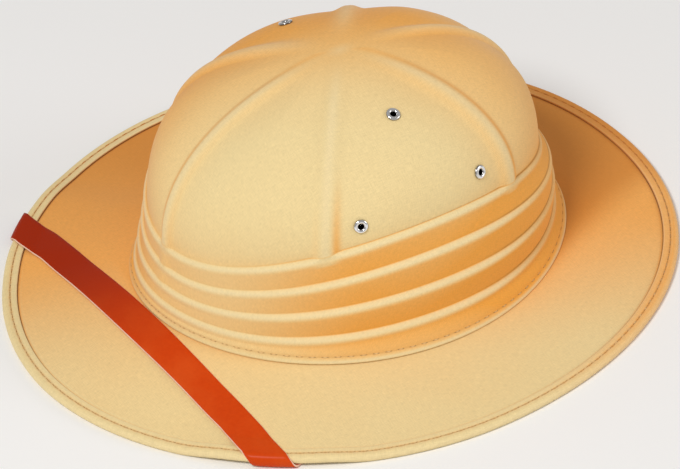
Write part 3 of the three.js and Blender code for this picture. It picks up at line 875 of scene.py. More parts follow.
def brim_rows(turn):
    """Rows over the top from the crown to the edge, back underneath, and round the collar."""
    half, pinched = BRIM_THICKNESS / 2, BRIM_PINCHED / 2
    board = 1 - BRIM_BORDER / brim_span(turn)
    front = BRIM_FRONT_DYE * ease(*BRIM_FRONT_ZONE, -np.sin(turn))
    steps = np.linspace(0, BOARD_END, BOARD_ROWS) ** BOARD_CROWDING
    yield collar_ring(turn, 0, -GAP), 1.0, 0, JOINT_SEAM
    for progress in steps:
        share = progress * board
        from_crown = share * brim_span(turn)
        # Painted shade beside the crown's foot; the front adds dye.
        fold = BESIDE_CROWN_SHADE * np.exp(-from_crown / BESIDE_CROWN_REACH)
        fold = fold + front * (1 - BRIM_FRONT_FADE * progress)
        seam = BESIDE_CROWN_LINE_SHADE * np.exp(-from_crown / BESIDE_CROWN_LINE_SHADE_REACH)
        yield brim_middle(turn, share, half + brim_wave(turn, progress)), fold, 0, seam
    for part in BRIM_EDGE:
        raised = part["face"] * blend(pinched, half, part["fullness"])
        yield brim_at(turn, part["inset"], raised), part["fold"], 0, part["seam"]
    # Painted shade under the brim.
    for progress in steps[::-2]:
        yield brim_middle(turn, progress * board, -half), UNDERSIDE_SHADE, 0, 0
    for part in COLLAR:
        place = collar_ring(turn, part["depth"], part["height"])
        yield place, part["fold"], 0, part["seam"]


def make_brim():
    turn = np.arange(BRIM_COLUMNS) * 2 * math.pi / BRIM_COLUMNS - QUARTER
    sections, values = stack_rows(list(brim_rows(turn)), BRIM_COLUMNS)
    return make_ring("brim_cloth", sections, values, sections[..., :2])


brim = make_brim()
finish_piece(brim, "brim_cloth", "brim")

# %% [markdown]
# ## The bound edge
#
# A folded tape is sewn over the brim's raw edge with one row of stitches. Its columns are evenly
# spaced along the edge, six to each stitch, so that the tape can pucker at every needle hole, and
# painted shade darkens each hole. HOLE_SHARES says how much each of the six feels its hole. The
# crest values paint highlights along the rolled edge and the lip, and the fold and seam values
# paint the shade under the lip.

# %% Make the binding
CURVE_SAMPLES = 4001
EDGE_STITCHES = 168
STITCH_INSET = 3.9
PUCKER_DEPTH = 0.28
PUCKER_WIDTH = 0.7
GROOVE_WIDTH = 0.35
HOLE_SHARES = (1.0, 0.45, 0.0, 0.0, 0.0, 0.45)
HOLE_SINK, HOLE_FOLD, HOLE_LINE_SHADE = (0.6, 1.0), (0.25, 0.6), (0.22, 0.72)
ROLL_STEPS = 6
ROLL_CREST = 0.5
FACE_CREST = 0.2
FACE_INSETS = (2.9, 3.4, STITCH_INSET, 4.4, 4.9, 5.8)
TAPE_TOP, TAPE_INSIDE = RIM_MIDDLE_Z, RIM_MIDDLE_Z - BINDING_THICKNESS
TAPE_FACE = 1.9
TAPE_LAP = table("inset height crest fold seam", [
    (6.6, TAPE_TOP, FACE_CREST, 0.0, 0.0),
    (BINDING_LAP - 0.35, TAPE_TOP - 0.06, 0.8, 0.0, 0.0),
    (BINDING_LAP - 0.05, TAPE_TOP - 0.35, 0.2, 0.5, 0.35),
    (BINDING_LAP, TAPE_INSIDE + 0.3, 0.0, 0.8, 0.6),
    (BINDING_LAP, TAPE_INSIDE - 0.06, 0.0, 1.0, 1.0),
    (BINDING_THICKNESS, TAPE_INSIDE, 0.0, 1.0, 0.0),
    (BINDING_THICKNESS, -TAPE_INSIDE, 0.0, 1.0, 0.0),
    (BINDING_LAP, 0.06 - TAPE_INSIDE, 0.0, 1.0, 1.0),
    (BINDING_LAP, -0.3 - TAPE_INSIDE, 0.0, 0.8, 0.2),
    (BINDING_LAP - 0.05, 0.35 - TAPE_TOP, 0.4, 0.3, 0.0),
    (BINDING_LAP - 0.35, 0.06 - TAPE_TOP, 0.8, 0.0, 0.0),
])


def even_turns(curve, count):
    """Turns that are evenly spaced along a closed curve."""
    turn = np.linspace(-QUARTER, 2 * math.pi - QUARTER, CURVE_SAMPLES)
    x, y = curve(turn)
    length = np.append(0, np.cumsum(np.hypot(np.diff(x), np.diff(y))))
    return np.interp(np.arange(count) * length[-1] / count, length, turn), length[-1]


def tape_line(inset, height, crest):
    return dict(inset=inset, height=height, crest=crest, fold=0.0, seam=0.0)


def tape_section():
    """Lines round the rolled edge, over the top, in under the lap and back underneath."""
    for step in range(-ROLL_STEPS, ROLL_STEPS + 1):
        angle = step * QUARTER / ROLL_STEPS
        level, height = math.cos(angle), math.sin(angle)
        yield tape_line(TAPE_TOP * (1 - level), TAPE_TOP * height, ROLL_CREST * level)
    for inset in FACE_INSETS:
        yield tape_line(inset, TAPE_TOP, FACE_CREST)
    yield from TAPE_LAP
    for inset in reversed(FACE_INSETS):
        yield tape_line(inset, -TAPE_TOP, FACE_CREST)


def make_binding():
    count = EDGE_STITCHES * len(HOLE_SHARES)
    turn, length = even_turns(brim_edge, count)
    along = np.arange(count) * length / count
    hole = np.tile(HOLE_SHARES, EDGE_STITCHES)
    rows, flat = [], []
    for line in tape_section():
        inset, height = line["inset"], line["height"]
        on_face = abs(height) > TAPE_FACE
        near = bump(STITCH_INSET, PUCKER_WIDTH, inset) * on_face
        groove = bump(STITCH_INSET, GROOVE_WIDTH, inset) * on_face
        sink = PUCKER_DEPTH * near * blend(*HOLE_SINK, hole) * np.sign(height)
        place = brim_at(turn, inset, height - sink)
        # Painted shade: the tape darkens at each needle hole.
        fold = np.clip(line["fold"] + near * blend(*HOLE_FOLD, hole), 0, 1)
        crest = line["crest"] * (1 - near * hole)
        seam = line["seam"] + groove * blend(*HOLE_LINE_SHADE, hole)
        rows.append((place, fold, crest, seam))
        flat.append(points(along, inset if height > 0 else -inset))
    sections, values = stack_rows(rows, count)
    return make_ring("edge_binding_tape", sections, values, np.array(flat))


binding = make_binding()
finish_piece(binding, "binding_cloth", "edge_binding")

# %% [markdown]
# ## Stitches
#
# Running stitches could be an image or a bump. Modelled thread is better: it dives into its
# needle holes and throws a shadow. Each stitch is a short bent tube of thread, and a whole row is
# one joined mesh. The thread's fold value goes to 1 where it dives, which paints shade on its
# ends, so that the needle holes look dark. The row underneath is pressed flush with the tape, so
# that the hat still rests on its rim.

# %% Sew the edge and the crown
THREAD_RADIUS = 0.24
THREAD_SIDES = 6
STITCH_SHARE = 0.66
STITCH_PROFILE = np.array([-0.42, -0.02, 0.12, 0.16, 0.12, -0.02, -0.42])
STITCH_SHADE = np.array([1.0, 0.75, 0.2, 0.0, 0.2, 0.75, 1.0])
STITCH_STATION = 0.6
THREAD_LINE_SHADE = 0.55
SUNK_ON_TAPE = 0.1
SUNK_ON_CROWN = 0.2
CROWN_STITCHES = 104


def sew(name, surface, outward, turns):
    """A row of stitches: surface(turn) and outward(turn) give the cloth's face."""
    vertices, faces, shade, flat = [], [], [], []
    angle = np.arange(THREAD_SIDES) * 2 * math.pi / THREAD_SIDES
    stations = len(STITCH_PROFILE)
    for start, following in zip(turns, np.append(turns[1:], turns[0] + 2 * math.pi)):
        pitch = following - start
        turn = start + pitch * (0.5 + STITCH_SHARE * np.linspace(-0.5, 0.5, stations))
        up = outward(turn)
        line = surface(turn) + up * STITCH_PROFILE[:, None]
        ahead = np.gradient(line, axis=0)
        ahead /= np.linalg.norm(ahead, axis=-1, keepdims=True)
        aside = np.cross(up, ahead)
        ring = (np.cos(angle)[None, :, None] * up[:, None]
                + np.sin(angle)[None, :, None] * aside[:, None])
        faces += tube_faces(stations, THREAD_SIDES, len(vertices) * stations * THREAD_SIDES)
        vertices.append((line[:, None] + THREAD_RADIUS * ring).reshape(-1, 3))
        shade.append(np.repeat(STITCH_SHADE, THREAD_SIDES))
        along = np.repeat(np.arange(stations) * STITCH_STATION, THREAD_SIDES)
        flat.append(points(along, np.tile(angle * THREAD_RADIUS, stations)))
    # Painted shade where the thread dives into the cloth.
    fold = np.concatenate(shade)
    values = {"fold": fold, "crest": 0 * fold, "seam": THREAD_LINE_SHADE * fold}
    return make_mesh(name, np.vstack(vertices), faces, values, np.vstack(flat))


def sew_tape(name, side, turns):
    """The row on the tape's upper face, side 1, or on its underside, side -1."""
    sunk = SUNK_ON_TAPE if side > 0 else THREAD_RADIUS + STITCH_PROFILE.max()

    def tape_face(turn):
        return brim_at(turn, STITCH_INSET, side * (TAPE_TOP - sunk))

    def upright(turn):
        return points(0 * turn, 0, side)

    return sew(name, tape_face, upright, turns)


def crown_foot_face(turn):
    out = crown_wall_out(turn, STITCH_HEIGHT) - SUNK_ON_CROWN + hem_flare(turn, STITCH_HEIGHT)
    return foot_ring(turn, out, STITCH_HEIGHT)


def level_out(turn):
    return points(np.cos(turn), np.sin(turn), 0)


edge_turns, edge_length = even_turns(brim_edge, EDGE_STITCHES)
foot_turns, foot_length = even_turns(foot_outline, CROWN_STITCHES)
edge_thread = sew_tape("edge_stitches_above", 1, edge_turns)
under_thread = sew_tape("edge_stitches_below", -1, edge_turns)
crown_thread = sew("crown_stitches", crown_foot_face, level_out, foot_turns)
finish_piece(edge_thread, "binding_cloth")
finish_piece(under_thread, "binding_cloth")
finish_piece(crown_thread, "crown_cloth")
print("stitches are", round(edge_length / EDGE_STITCHES, 1), "mm apart on the edge and",
      round(foot_length / CROWN_STITCHES, 1), "mm on the crown")

# %% [markdown]
# ## The chin strap
#
# The strap is one flat loop of coated leather. It lies over the front of the brim, wraps
# round the edge at both sides, runs back under the brim and is sewn inside the collar. It
# could be a curve with a bevel, but its lines don't stay side by side: each follows the
# brim at its own place. So each line of its section is routed by itself, and the lines
# are joined into a band in the next cell. It bows forward in the middle to clear the
# crown, and it creeps along the edge as it goes round it, because it comes slantwise.

# %% Route the strap
STRAP_WIDTH = 15.8
STRAP_THICKNESS = 1.0
STRAP_CLEARANCE = 0.5
STRAP_STEP_LENGTH = 7
STRAP_BOW, STRAP_BOW_SHARPNESS = -2.2, 4
STRAP_LINES = 9
HALVINGS = 30
STRAP_CORNER = 0.2
UNDER_CROWDING = 1.6
ANCHOR_TURN = -20
ANCHOR_SPREAD = 1.05
ANCHOR_START = -3.6
ANCHOR_CLIMBS = (1.6, 12)
ANCHOR_LEAN = 0.6
STRAP_INSET = 8.5
STRAP_FOLD_SQUARENESS = 2.3
STEPS_OVER, STEPS_ROUND, STEPS_UNDER, STEPS_UP = 64, 20, 40, 10
LEFT_SLIDE = 1.4
RIGHT_SLIDE = 2.6
SLIDE_START = 0.78


def strap_standoff(turn, share):
    inset = (1 - share) * brim_span(turn)
    on_binding = 1 - ease(BINDING_LAP + STRAP_CLEARANCE, BINDING_LAP + STRAP_STEP_LENGTH, inset)
    return blend(BRIM_THICKNESS / 2, RIM_MIDDLE_Z, on_binding) + STRAP_CLEARANCE


def brim_place(x, y):
    """The turn and share of the brim under a place in its front left quarter."""
    low = np.full_like(x, -QUARTER)
    high = np.zeros_like(x)
    for _ in range(HALVINGS):
        turn = (low + high) / 2
        foot_x, foot_y = foot_outline(turn)
        edge_x, edge_y = brim_edge(turn)
        beyond = (edge_x - foot_x) * (y - foot_y) - (edge_y - foot_y) * (x - foot_x) > 0
        low = np.where(beyond, turn, low)
        high = np.where(beyond, high, turn)
    foot_x, foot_y = foot_outline(low)
    edge_x, edge_y = brim_edge(low)
    along = (x - foot_x) * (edge_x - foot_x) + (y - foot_y) * (edge_y - foot_y)
    return low, along / brim_span(low) ** 2


def edge_frame(turn, inset):
    """A place inset mm in from the brim's edge, the way out, and the speed along the edge."""
    before = points(*brim_edge(turn - NEARBY, inset))
    after = points(*brim_edge(turn + NEARBY, inset))
    along = (after - before) / (2 * NEARBY)
    speed = np.linalg.norm(along, axis=-1)
    out = points(along[..., 1], -along[..., 0]) / speed[..., None]
    return points(*brim_edge(turn, inset)), out, speed


def strap_fold_turns(side):
    """The strap comes slantwise, so it creeps along the edge as it goes round it."""
    start = np.array(strap_wrap_turn(side, RIM_MIDDLE_Z))
    _, out, speed = edge_frame(start, RIM_MIDDLE_Z)
    angle = np.linspace(0, math.pi, STEPS_ROUND + 1)
    creep = (RIM_MIDDLE_Z + STRAP_CLEARANCE) * angle * -out[1] / out[0]
    return start + creep / speed, angle


def strap_over(side, depth, slide):
    progress = np.arange(STEPS_OVER) / STEPS_OVER
    end_x, _ = brim_edge(strap_wrap_turn(side - slide, RIM_MIDDLE_Z), RIM_MIDDLE_Z)
    bow = STRAP_BOW * np.cos(progress * QUARTER) ** STRAP_BOW_SHARPNESS
    slid = slide * ease(SLIDE_START, 1, progress)
    turn, share = brim_place(end_x * progress, STRAP_END_Y + side + bow - slid)
    return brim_middle(turn, share, strap_standoff(turn, share) + depth)


def strap_round(side, depth, slide):
    turn, angle = strap_fold_turns(side - slide)
    edge, out, _ = edge_frame(turn, RIM_MIDDLE_Z)
    radius = RIM_MIDDLE_Z + STRAP_CLEARANCE + depth
    away = radius * power(np.sin(angle), 2 / STRAP_FOLD_SQUARENESS)
    high = radius * power(np.cos(angle), 2 / STRAP_FOLD_SQUARENESS)
    place = edge + out * away[:, None]
    return points(place[:, 0], place[:, 1], brim_middle(turn, 1.0)[:, 2] + high)


def anchor_turn(side):
    return math.radians(ANCHOR_TURN + ANCHOR_SPREAD * side)


def strap_under(side, depth, slide):
    progress = (np.arange(1, STEPS_UNDER + 1) / STEPS_UNDER) ** UNDER_CROWDING
    start = np.array(brim_edge(strap_fold_turns(side - slide)[0][-1], RIM_MIDDLE_Z))
    mouth = np.array(foot_outline(anchor_turn(side), 1.0, -STRAP_INSET))
    x = blend(start[0], mouth[0], progress)
    y = blend(start[1], mouth[1], progress)
    turn, share = brim_place(x, y)
    share = np.maximum(share, 0)
    z = brim_middle(turn, share)[:, 2] - strap_standoff(turn, share) - depth
    return points(x, y, z)


def strap_up(side, depth):
    climb = np.linspace(*ANCHOR_CLIMBS, STEPS_UP)
    turn = anchor_turn(side) + np.radians(climb * ANCHOR_LEAN)
    height = ANCHOR_START + climb
    inside = COLLAR_THICKNESS + STRAP_CLEARANCE + depth
    place = collar_ring(turn, inside, np.minimum(height, COLLAR_HEIGHT))
    place[:, 2] = foot_height(turn) + height
    return place


reach = strap_over(0, 0, LEFT_SLIDE)[-1] * MM
print("strap's middle leaves the brim's top at", np.round(reach, 3), "m")

# %% [markdown]
# ## The strap's band
#
# The lines become a band with a face above, a face below and two cut edges. Both halves
# come from the same functions. The right one is mirrored, and its fold lies a little
# further forward. The cut edges and the two ends get a second material.

# %% Make the strap
def strap_section():
    """Corners of the section, as (side, depth): the two faces and the two cut edges."""
    half, rim = STRAP_WIDTH / 2, STRAP_CORNER
    across = np.linspace(-half + rim, half - rim, STRAP_LINES)
    near = [(side, 0.0) for side in across]
    far = [(side, STRAP_THICKNESS) for side in across[::-1]]
    behind = [(half, rim), (half, STRAP_THICKNESS - rim)]
    ahead = [(-half, STRAP_THICKNESS - rim), (-half, rim)]
    return near + behind + far + ahead


def strap_half(section, slide):
    """Half the loop, as bands[station, corner], with its fold slide mm further forward."""
    lines = []
    for side, depth in section:
        routed = [make(side, depth, slide) for make in (strap_over, strap_round, strap_under)]
        lines.append(np.vstack([*routed, strap_up(side, depth)]))
    return np.array(lines).transpose(1, 0, 2)


def make_strap():
    section = strap_section()
    left = strap_half(section, LEFT_SLIDE)
    right = strap_half(section, RIGHT_SLIDE)[:0:-1] * np.array([-1, 1, 1])
    bands = np.vstack([right, left])
    stations, corners, _ = bands.shape
    middle = bands.mean(axis=1)
    along = np.append(0, np.cumsum(np.linalg.norm(np.diff(middle, axis=0), axis=-1)))
    across = np.array([side + depth for side, depth in section])
    flat = points(along[:, None], across[None, :])
    faces = tube_faces(stations, corners)
    if enclosed_volume(bands.reshape(-1, 3), grid_faces(stations, corners)) < 0:
        faces = [face[::-1] for face in faces]
    strap = make_mesh("strap_leather", bands.reshape(-1, 3), faces, None, flat.reshape(-1, 2))
    edge_corners = {corner for corner, (side, _) in enumerate(section)
                    if abs(side) > STRAP_WIDTH / 2 - 1.5 * STRAP_CORNER}
    for face in strap.data.polygons:
        on_edge = sum(vertex % corners in edge_corners for vertex in face.vertices)
        face.material_index = 1 if on_edge == 4 or len(face.vertices) > 4 else 0
    return strap, along[-1]


strap, strap_length = make_strap()
finish_piece(strap, "strap_leather", "chin_strap")
print("strap is", round(strap_length), "mm long")

# %% [markdown]
# ## The eyelets
#
# An eyelet is a short tube of plated brass, rolled over outside and flanged inside. It is
# a turned shape, so its profile is drawn once and swept round its axis at each seat.
# Bought rings are all alike, so one mesh could be shared, but each node is replaced by its own.
# Here the fold value is 1 where the metal is painted dark: painted shade down the hole, under the
# inner flange and round the ring's foot, and a painted dark reflection on the roll's outer side.

# %% Turn the eyelets
EYELET_SIDES = 48
INNER_FLANGE_TOP = -CROWN_THICKNESS - 0.75
INNER_FLANGE_FOOT = INNER_FLANGE_TOP - 0.9
EYELET_PROFILE = [
    (EYELET_BARREL_RADIUS, 0.16), (3.0, 0.12), (3.25, 0.16), (3.4, 0.32), (3.42, 0.5),
    (3.32, 0.75), (3.1, 0.98), (2.75, 1.13), (2.35, 1.18), (1.95, 1.1), (1.62, 0.9),
    (1.4, 0.62), (EYELET_HOLE_RADIUS, 0.3), (EYELET_HOLE_RADIUS, INNER_FLANGE_FOOT + 0.3),
    (1.5, INNER_FLANGE_FOOT), (2.6, INNER_FLANGE_FOOT), (2.8, INNER_FLANGE_FOOT + 0.3),
    (2.8, INNER_FLANGE_TOP), (EYELET_BARREL_RADIUS, INNER_FLANGE_TOP),
]
# Painted shade and dark reflection: 1 down the hole, under the flange and round the ring's foot,
# less up the roll's outer side.
EYELET_SHADE = (1, 1, 1, 0.9, 0.75, 0.35, 0, 0, 0, 0, 0.3, 0.7, 1, 1, 1, 0.5, 0.5, 0.5, 1)


def make_eyelet(node, place, axis):
    spin = axis.to_track_quat("Z", "Y").to_matrix()
    sections = turned(EYELET_PROFILE, EYELET_SIDES) @ np.array(spin).T + np.array(place)
    # Painted shade and dark reflection, carried as the fold value.
    metal_shade = np.repeat(EYELET_SHADE, EYELET_SIDES)
    ring = make_ring(node + "_ring", sections, {"fold": metal_shade})
    finish_piece(ring, "eyelet_metal", node)
    return ring


eyelets = [make_eyelet(node, place, axis) for node, place, axis in eyelet_seats()]

# %% [markdown]
# ## Shader helpers
#
# Materials here are built from small node groups. A group is made once, with named
# inputs and outputs, and each material places it with its own values. The Principled
# shader itself stays in the material.

# %% Helpers for nodes
def new_group(name, inputs, outputs):
    """An empty node group. inputs and outputs are (name, socket kind, default) rows."""
    group = bpy.data.node_groups.new(name, "ShaderNodeTree")
    for title, kind, default in inputs:
        socket = group.interface.new_socket(title, in_out="INPUT", socket_type=kind)
        if default is not None:
            socket.default_value = default
    for title, kind in outputs:
        group.interface.new_socket(title, in_out="OUTPUT", socket_type=kind)
    return group, group.nodes.new("NodeGroupInput"), group.nodes.new("NodeGroupOutput")


def feed(tree, socket, value):
    """Link another node's socket into this one, or set it as a plain value."""
    if isinstance(value, bpy.types.NodeSocket):
        tree.links.new(value, socket)
    else:
        socket.default_value = value


def set_sockets(tree, node, **values):
    """Feed sockets by name, with _ for each space."""
    for name, value in values.items():
        feed(tree, node.inputs[name.replace("_", " ")], value)


def add_node(tree, kind, settings=None, **values):
    node = tree.nodes.new(kind)
    for name, value in (settings or {}).items():
        setattr(node, name, value)
    set_sockets(tree, node, **values)
    return node


def add_math(tree, operation, *values):
    node = add_node(tree, "ShaderNodeMath", {"operation": operation})
    for socket, value in zip(node.inputs, values):
        feed(tree, socket, value)
    return node.outputs[0]


def add_vector_math(tree, operation, vector, plain):
    node = add_node(tree, "ShaderNodeVectorMath", {"operation": operation})
    feed(tree, node.inputs[0], vector)
    feed(tree, node.inputs[1], plain)
    return node


def add_mix(tree, share, first, second, blend_type="MIX"):
    """Blend two colours. A Mix node's colour sockets are its inputs 6 and 7."""
    node = add_node(tree, "ShaderNodeMix", {"data_type": "RGBA", "blend_type": blend_type})
    for index, value in ((0, share), (6, first), (7, second)):
        feed(tree, node.inputs[index], value)
    return node.outputs[2]


def add_range(tree, value, from_range, to_range, interpolation="LINEAR"):
    node = add_node(tree, "ShaderNodeMapRange", {"interpolation_type": interpolation},
                    Value=value, From_Min=from_range[0], From_Max=from_range[1],
                    To_Min=to_range[0], To_Max=to_range[1])
    return node.outputs[0]


def add_relief(tree, height, strength, depth_mm):
    node = add_node(tree, "ShaderNodeBump", Height=height, Strength=strength,
                    Distance=depth_mm * MM)
    return node.outputs[0]


def object_place(tree):
    return add_node(tree, "ShaderNodeTexCoord").outputs["Object"]


def named_value(tree, name):
    return add_node(tree, "ShaderNodeAttribute", {"attribute_name": name}).outputs["Fac"]


def new_material(name):
    material = bpy.data.materials.new(name)
    material.use_nodes = True
    tree = material.node_tree
    return material, tree, tree.nodes["Principled BSDF"]

# %% [markdown]
# ## The weave
#
# The cloth is a fine, matt, plain weave laminated to foam. Two crossed sine waves give the
# threads: where one dips, the other rises. They run in the flat cloth's own map, so they
# bend over the crown as a stretched sheet does. A noise makes the yarn uneven.

# %% Group: cloth weave
SLUB_STRETCHES = ((300, 2400, 1), (2400, 300, 1))


def weave_group():
    group, given, result = new_group("cloth weave", [
        ("Cloth Place", "NodeSocketVector", None),
        ("Threads per Metre", "NodeSocketFloat", 1400.0),
        ("Unevenness", "NodeSocketFloat", 0.5),
    ], [("Height", "NodeSocketFloat"), ("Thread Shade", "NodeSocketFloat")])
    place = given.outputs["Cloth Place"]
    count = given.outputs["Threads per Metre"]
    split = add_node(group, "ShaderNodeSeparateXYZ", Vector=place)
    turns = add_math(group, "MULTIPLY", count, math.pi)
    warp = add_math(group, "SINE", add_math(group, "MULTIPLY", split.outputs["X"], turns))
    weft = add_math(group, "SINE", add_math(group, "MULTIPLY", split.outputs["Y"], turns))
    crossed = add_math(group, "MULTIPLY", warp, weft)
    slubs = []
    for stretch in SLUB_STRETCHES:
        drawn = add_vector_math(group, "MULTIPLY", place, stretch).outputs[0]
        noise = add_node(group, "ShaderNodeTexNoise", Vector=drawn, Scale=1.0, Detail=2.0)
        slubs.append(noise.outputs["Fac"])
    yarn = add_math(group, "MULTIPLY", add_math(group, "ADD", *slubs), 0.5)
    uneven = add_math(group, "MULTIPLY", yarn, given.outputs["Unevenness"])
    height = add_math(group, "ADD", add_math(group, "MULTIPLY", crossed, 0.5), uneven)
    set_sockets(group, result, Height=height, Thread_Shade=yarn)
    return group


weave = weave_group()
print("group", weave.name, "has", len(weave.nodes), "nodes")

# %% [markdown]
# ## Cloth colour with painted shade and highlights
#
# The cloth is pale khaki. It looks amber wherever light has to bounce about before it leaves: in
# the creases, under the lips and beside the ridges. A renderer finds part of that by itself. The
# rest is painted shade: the group deepens the colour to amber along the folds, and it paints the
# crests pale as painted highlights. The group takes the fold, crest and seam values that the
# meshes carry and a painted shade by place, and adds slow mottling, so that no stretch is one
# flat colour.

# %% Group: cloth dye and painted shade
MOTTLE_SCALE = 14.0
CREST_HIGHLIGHT = 0.65
YARN_RANGE, YARN_TONES = (0.35, 0.65), (0.90, 1.06)
YARN_ROUGHNESS = (0.78, 0.95)


def dye_and_shade_group():
    group, given, result = new_group("cloth dye and painted shade", [
        ("Pale", "NodeSocketColor", None),
        ("Deep", "NodeSocketColor", None),
        ("Worn", "NodeSocketColor", None),
        ("Fold", "NodeSocketFloat", 0.0),
        ("Crest", "NodeSocketFloat", 0.0),
        ("Tan", "NodeSocketFloat", 0.0),
        ("Seam", "NodeSocketFloat", 0.0),
        ("Seam Color", "NodeSocketColor", None),
        ("Thread Shade", "NodeSocketFloat", 0.5),
        ("Mottle", "NodeSocketFloat", 0.1),
    ], [("Color", "NodeSocketColor"), ("Roughness", "NodeSocketFloat")])
    slow = add_node(group, "ShaderNodeTexNoise", Vector=object_place(group),
                    Scale=MOTTLE_SCALE, Detail=4.0)
    patches = add_math(group, "SUBTRACT", slow.outputs["Fac"], 0.5)
    patches = add_math(group, "MULTIPLY", patches, given.outputs["Mottle"])
    # Painted shade: the fold value and the shade ramp by place deepen the colour towards Deep;
    # the mottling is the cloth's own uneven tone.
    depth = add_math(group, "ADD", given.outputs["Fold"], given.outputs["Tan"])
    depth = add_math(group, "ADD", depth, patches)
    depth = add_node(group, "ShaderNodeClamp", Value=depth).outputs[0]
    dyed_and_shaded = add_mix(group, depth, given.outputs["Pale"], given.outputs["Deep"])
    # Painted highlight: the crest value paints the crests pale.
    highlight_and_wear = add_math(group, "MULTIPLY", given.outputs["Crest"], CREST_HIGHLIGHT)
    toned = add_mix(group, highlight_and_wear, dyed_and_shaded, given.outputs["Worn"])
    # Painted shade: the seam value darkens creases, gaps and needle holes, and the real joints.
    toned = add_mix(group, given.outputs["Seam"], toned, given.outputs["Seam Color"])
    yarn = given.outputs["Thread Shade"]
    shade = add_range(group, yarn, YARN_RANGE, YARN_TONES)
    grey = add_node(group, "ShaderNodeCombineColor", Red=shade, Green=shade, Blue=shade)
    threaded = add_mix(group, 1.0, toned, grey.outputs[0], "MULTIPLY")
    rough = add_range(group, yarn, (0, 1), YARN_ROUGHNESS)
    set_sockets(group, result, Color=threaded, Roughness=rough)
    return group


dye_and_shade = dye_and_shade_group()
print("group", dye_and_shade.name, "has", len(dye_and_shade.nodes), "nodes")

# %% [markdown]
# ## The cloth materials
#
# Crown, brim and tape are the same cloth, so one function makes their materials, each with its
# own colour of painted shade in the folds, thread count and mottling. The sewing thread uses it
# too. The sun doesn't reach a hat evenly, and each material paints that in with ramps through
# space: one ramp paints amber shade on the side away from the light, and a far ramp, round the
# back, takes some of it away on the crown and on brim and tape paints the crown's cast shadow and
# the far side in a deeper amber. The sheen is the same all over, so it is set on the shader's own
# socket.

# %% Make the cloth materials
# The next colour is the dark brown of painted shade in creases, gaps and needle holes, and of
# real joints.
SEAM_AND_SHADE = (0.24, 0.095, 0.022, 1)
# The painted shadow colour for the crown's cast shadow and the far side of brim and tape.
PAINTED_SHADOW = (0.58, 0.185, 0.0105, 1)
PALE = (0.845, 0.665, 0.335, 1)
# DEEP and BRIM_DEEP are the amber that painted shade and the mottling deepen the cloth to.
DEEP = (0.91, 0.41, 0.065, 1)
BRIM_DEEP = (0.91, 0.43, 0.105, 1)
PAINTED_HIGHLIGHT = (0.855, 0.705, 0.41, 1)
THREAD = (0.85, 0.60, 0.28, 1)
THREAD_DEEP = (0.55, 0.27, 0.08, 1)
CLOTH_UNEVENNESS = 0.9
CLOTH_RELIEF = 0.5
# The ramps paint light and shade: the first paints amber shade on the side away from the light,
# and the far one eases it round the crown's back and paints the crown's cast shadow on brim and
# tape.
SUN_SIDE = (0.86, -0.51, 0.4)
CROWN_SUN = dict(
    painted_shade=[(SUN_SIDE, 0.095, 0.0)],
    far=[((0.0, 1.0, 0.0), 0.045, 0.105)],
    shadowed=0.0, eased=0.4,
)
BRIM_SUN = dict(
    painted_shade=[(SUN_SIDE, 0.093, -0.027)],
    far=[((0.94, 0.34, 0.0), 0.098, 0.075), ((-0.55, 0.83, 0.0), -0.06, 0.075)],
    shadowed=0.65, eased=0.0,
)
TAPE_SUN = dict(
    painted_shade=[((-0.15, -0.99, 0.0), -0.02, -0.15)],
    far=[((0.15, -0.985, 0.0), -0.14, -0.163)],
    shadowed=0.65, eased=0.0,
)


def sun_share(tree, ramps):
    """How far a place lies along every ramp. A ramp is a direction, its start and its end."""
    place = object_place(tree)
    whole = 1.0
    for side, start, end in ramps:
        towards = add_vector_math(tree, "DOT_PRODUCT", place, side).outputs["Value"]
        share = add_range(tree, towards, (start, end), (0, 1), "SMOOTHSTEP")
        whole = add_math(tree, "MULTIPLY", share, whole)
    return whole


def cloth_material(name, colours, sun, threads, mottle, depth_mm=0.12):
    """colours are the plain cloth's, the amber of painted shade in the folds, and the pale of
    painted highlights on the crests.
    """
    material, tree, shader = new_material(name)
    pale, deep, highlight_and_wear = colours
    flat = add_node(tree, "ShaderNodeUVMap", {"uv_map": "flat_cloth"})
    woven = add_node(tree, "ShaderNodeGroup", {"node_tree": weave}, Cloth_Place=flat.outputs[0],
                     Threads_per_Metre=threads, Unevenness=CLOTH_UNEVENNESS)
    # Painted shade by place: amber away from the light, eased round the crown's back.
    painted_shade, far = sun_share(tree, sun["painted_shade"]), sun_share(tree, sun["far"])
    painted_shade = add_math(tree, "SUBTRACT", painted_shade, add_math(tree, "MULTIPLY", far, sun["eased"]))
    dyed_and_shaded = add_node(tree, "ShaderNodeGroup", {"node_tree": dye_and_shade}, Pale=pale, Deep=deep, Worn=highlight_and_wear,
                    Fold=named_value(tree, "fold"), Crest=named_value(tree, "crest"), Tan=painted_shade,
                    Seam=named_value(tree, "seam"), Seam_Color=SEAM_AND_SHADE,
                    Thread_Shade=woven.outputs["Thread Shade"], Mottle=mottle)
    # Painted shadow: the far ramp mixes in the shadow colour on brim and tape.
    shadowed = add_math(tree, "MULTIPLY", far, sun["shadowed"])
    colour = add_mix(tree, shadowed, dyed_and_shaded.outputs["Color"], PAINTED_SHADOW)
    relief = add_relief(tree, woven.outputs["Height"], CLOTH_RELIEF, depth_mm)
    set_sockets(tree, shader, Base_Color=colour, Roughness=dyed_and_shaded.outputs["Roughness"],
                Normal=relief, Specular_IOR_Level=0.25, Sheen_Weight=0.15, Sheen_Roughness=0.45)
    return material


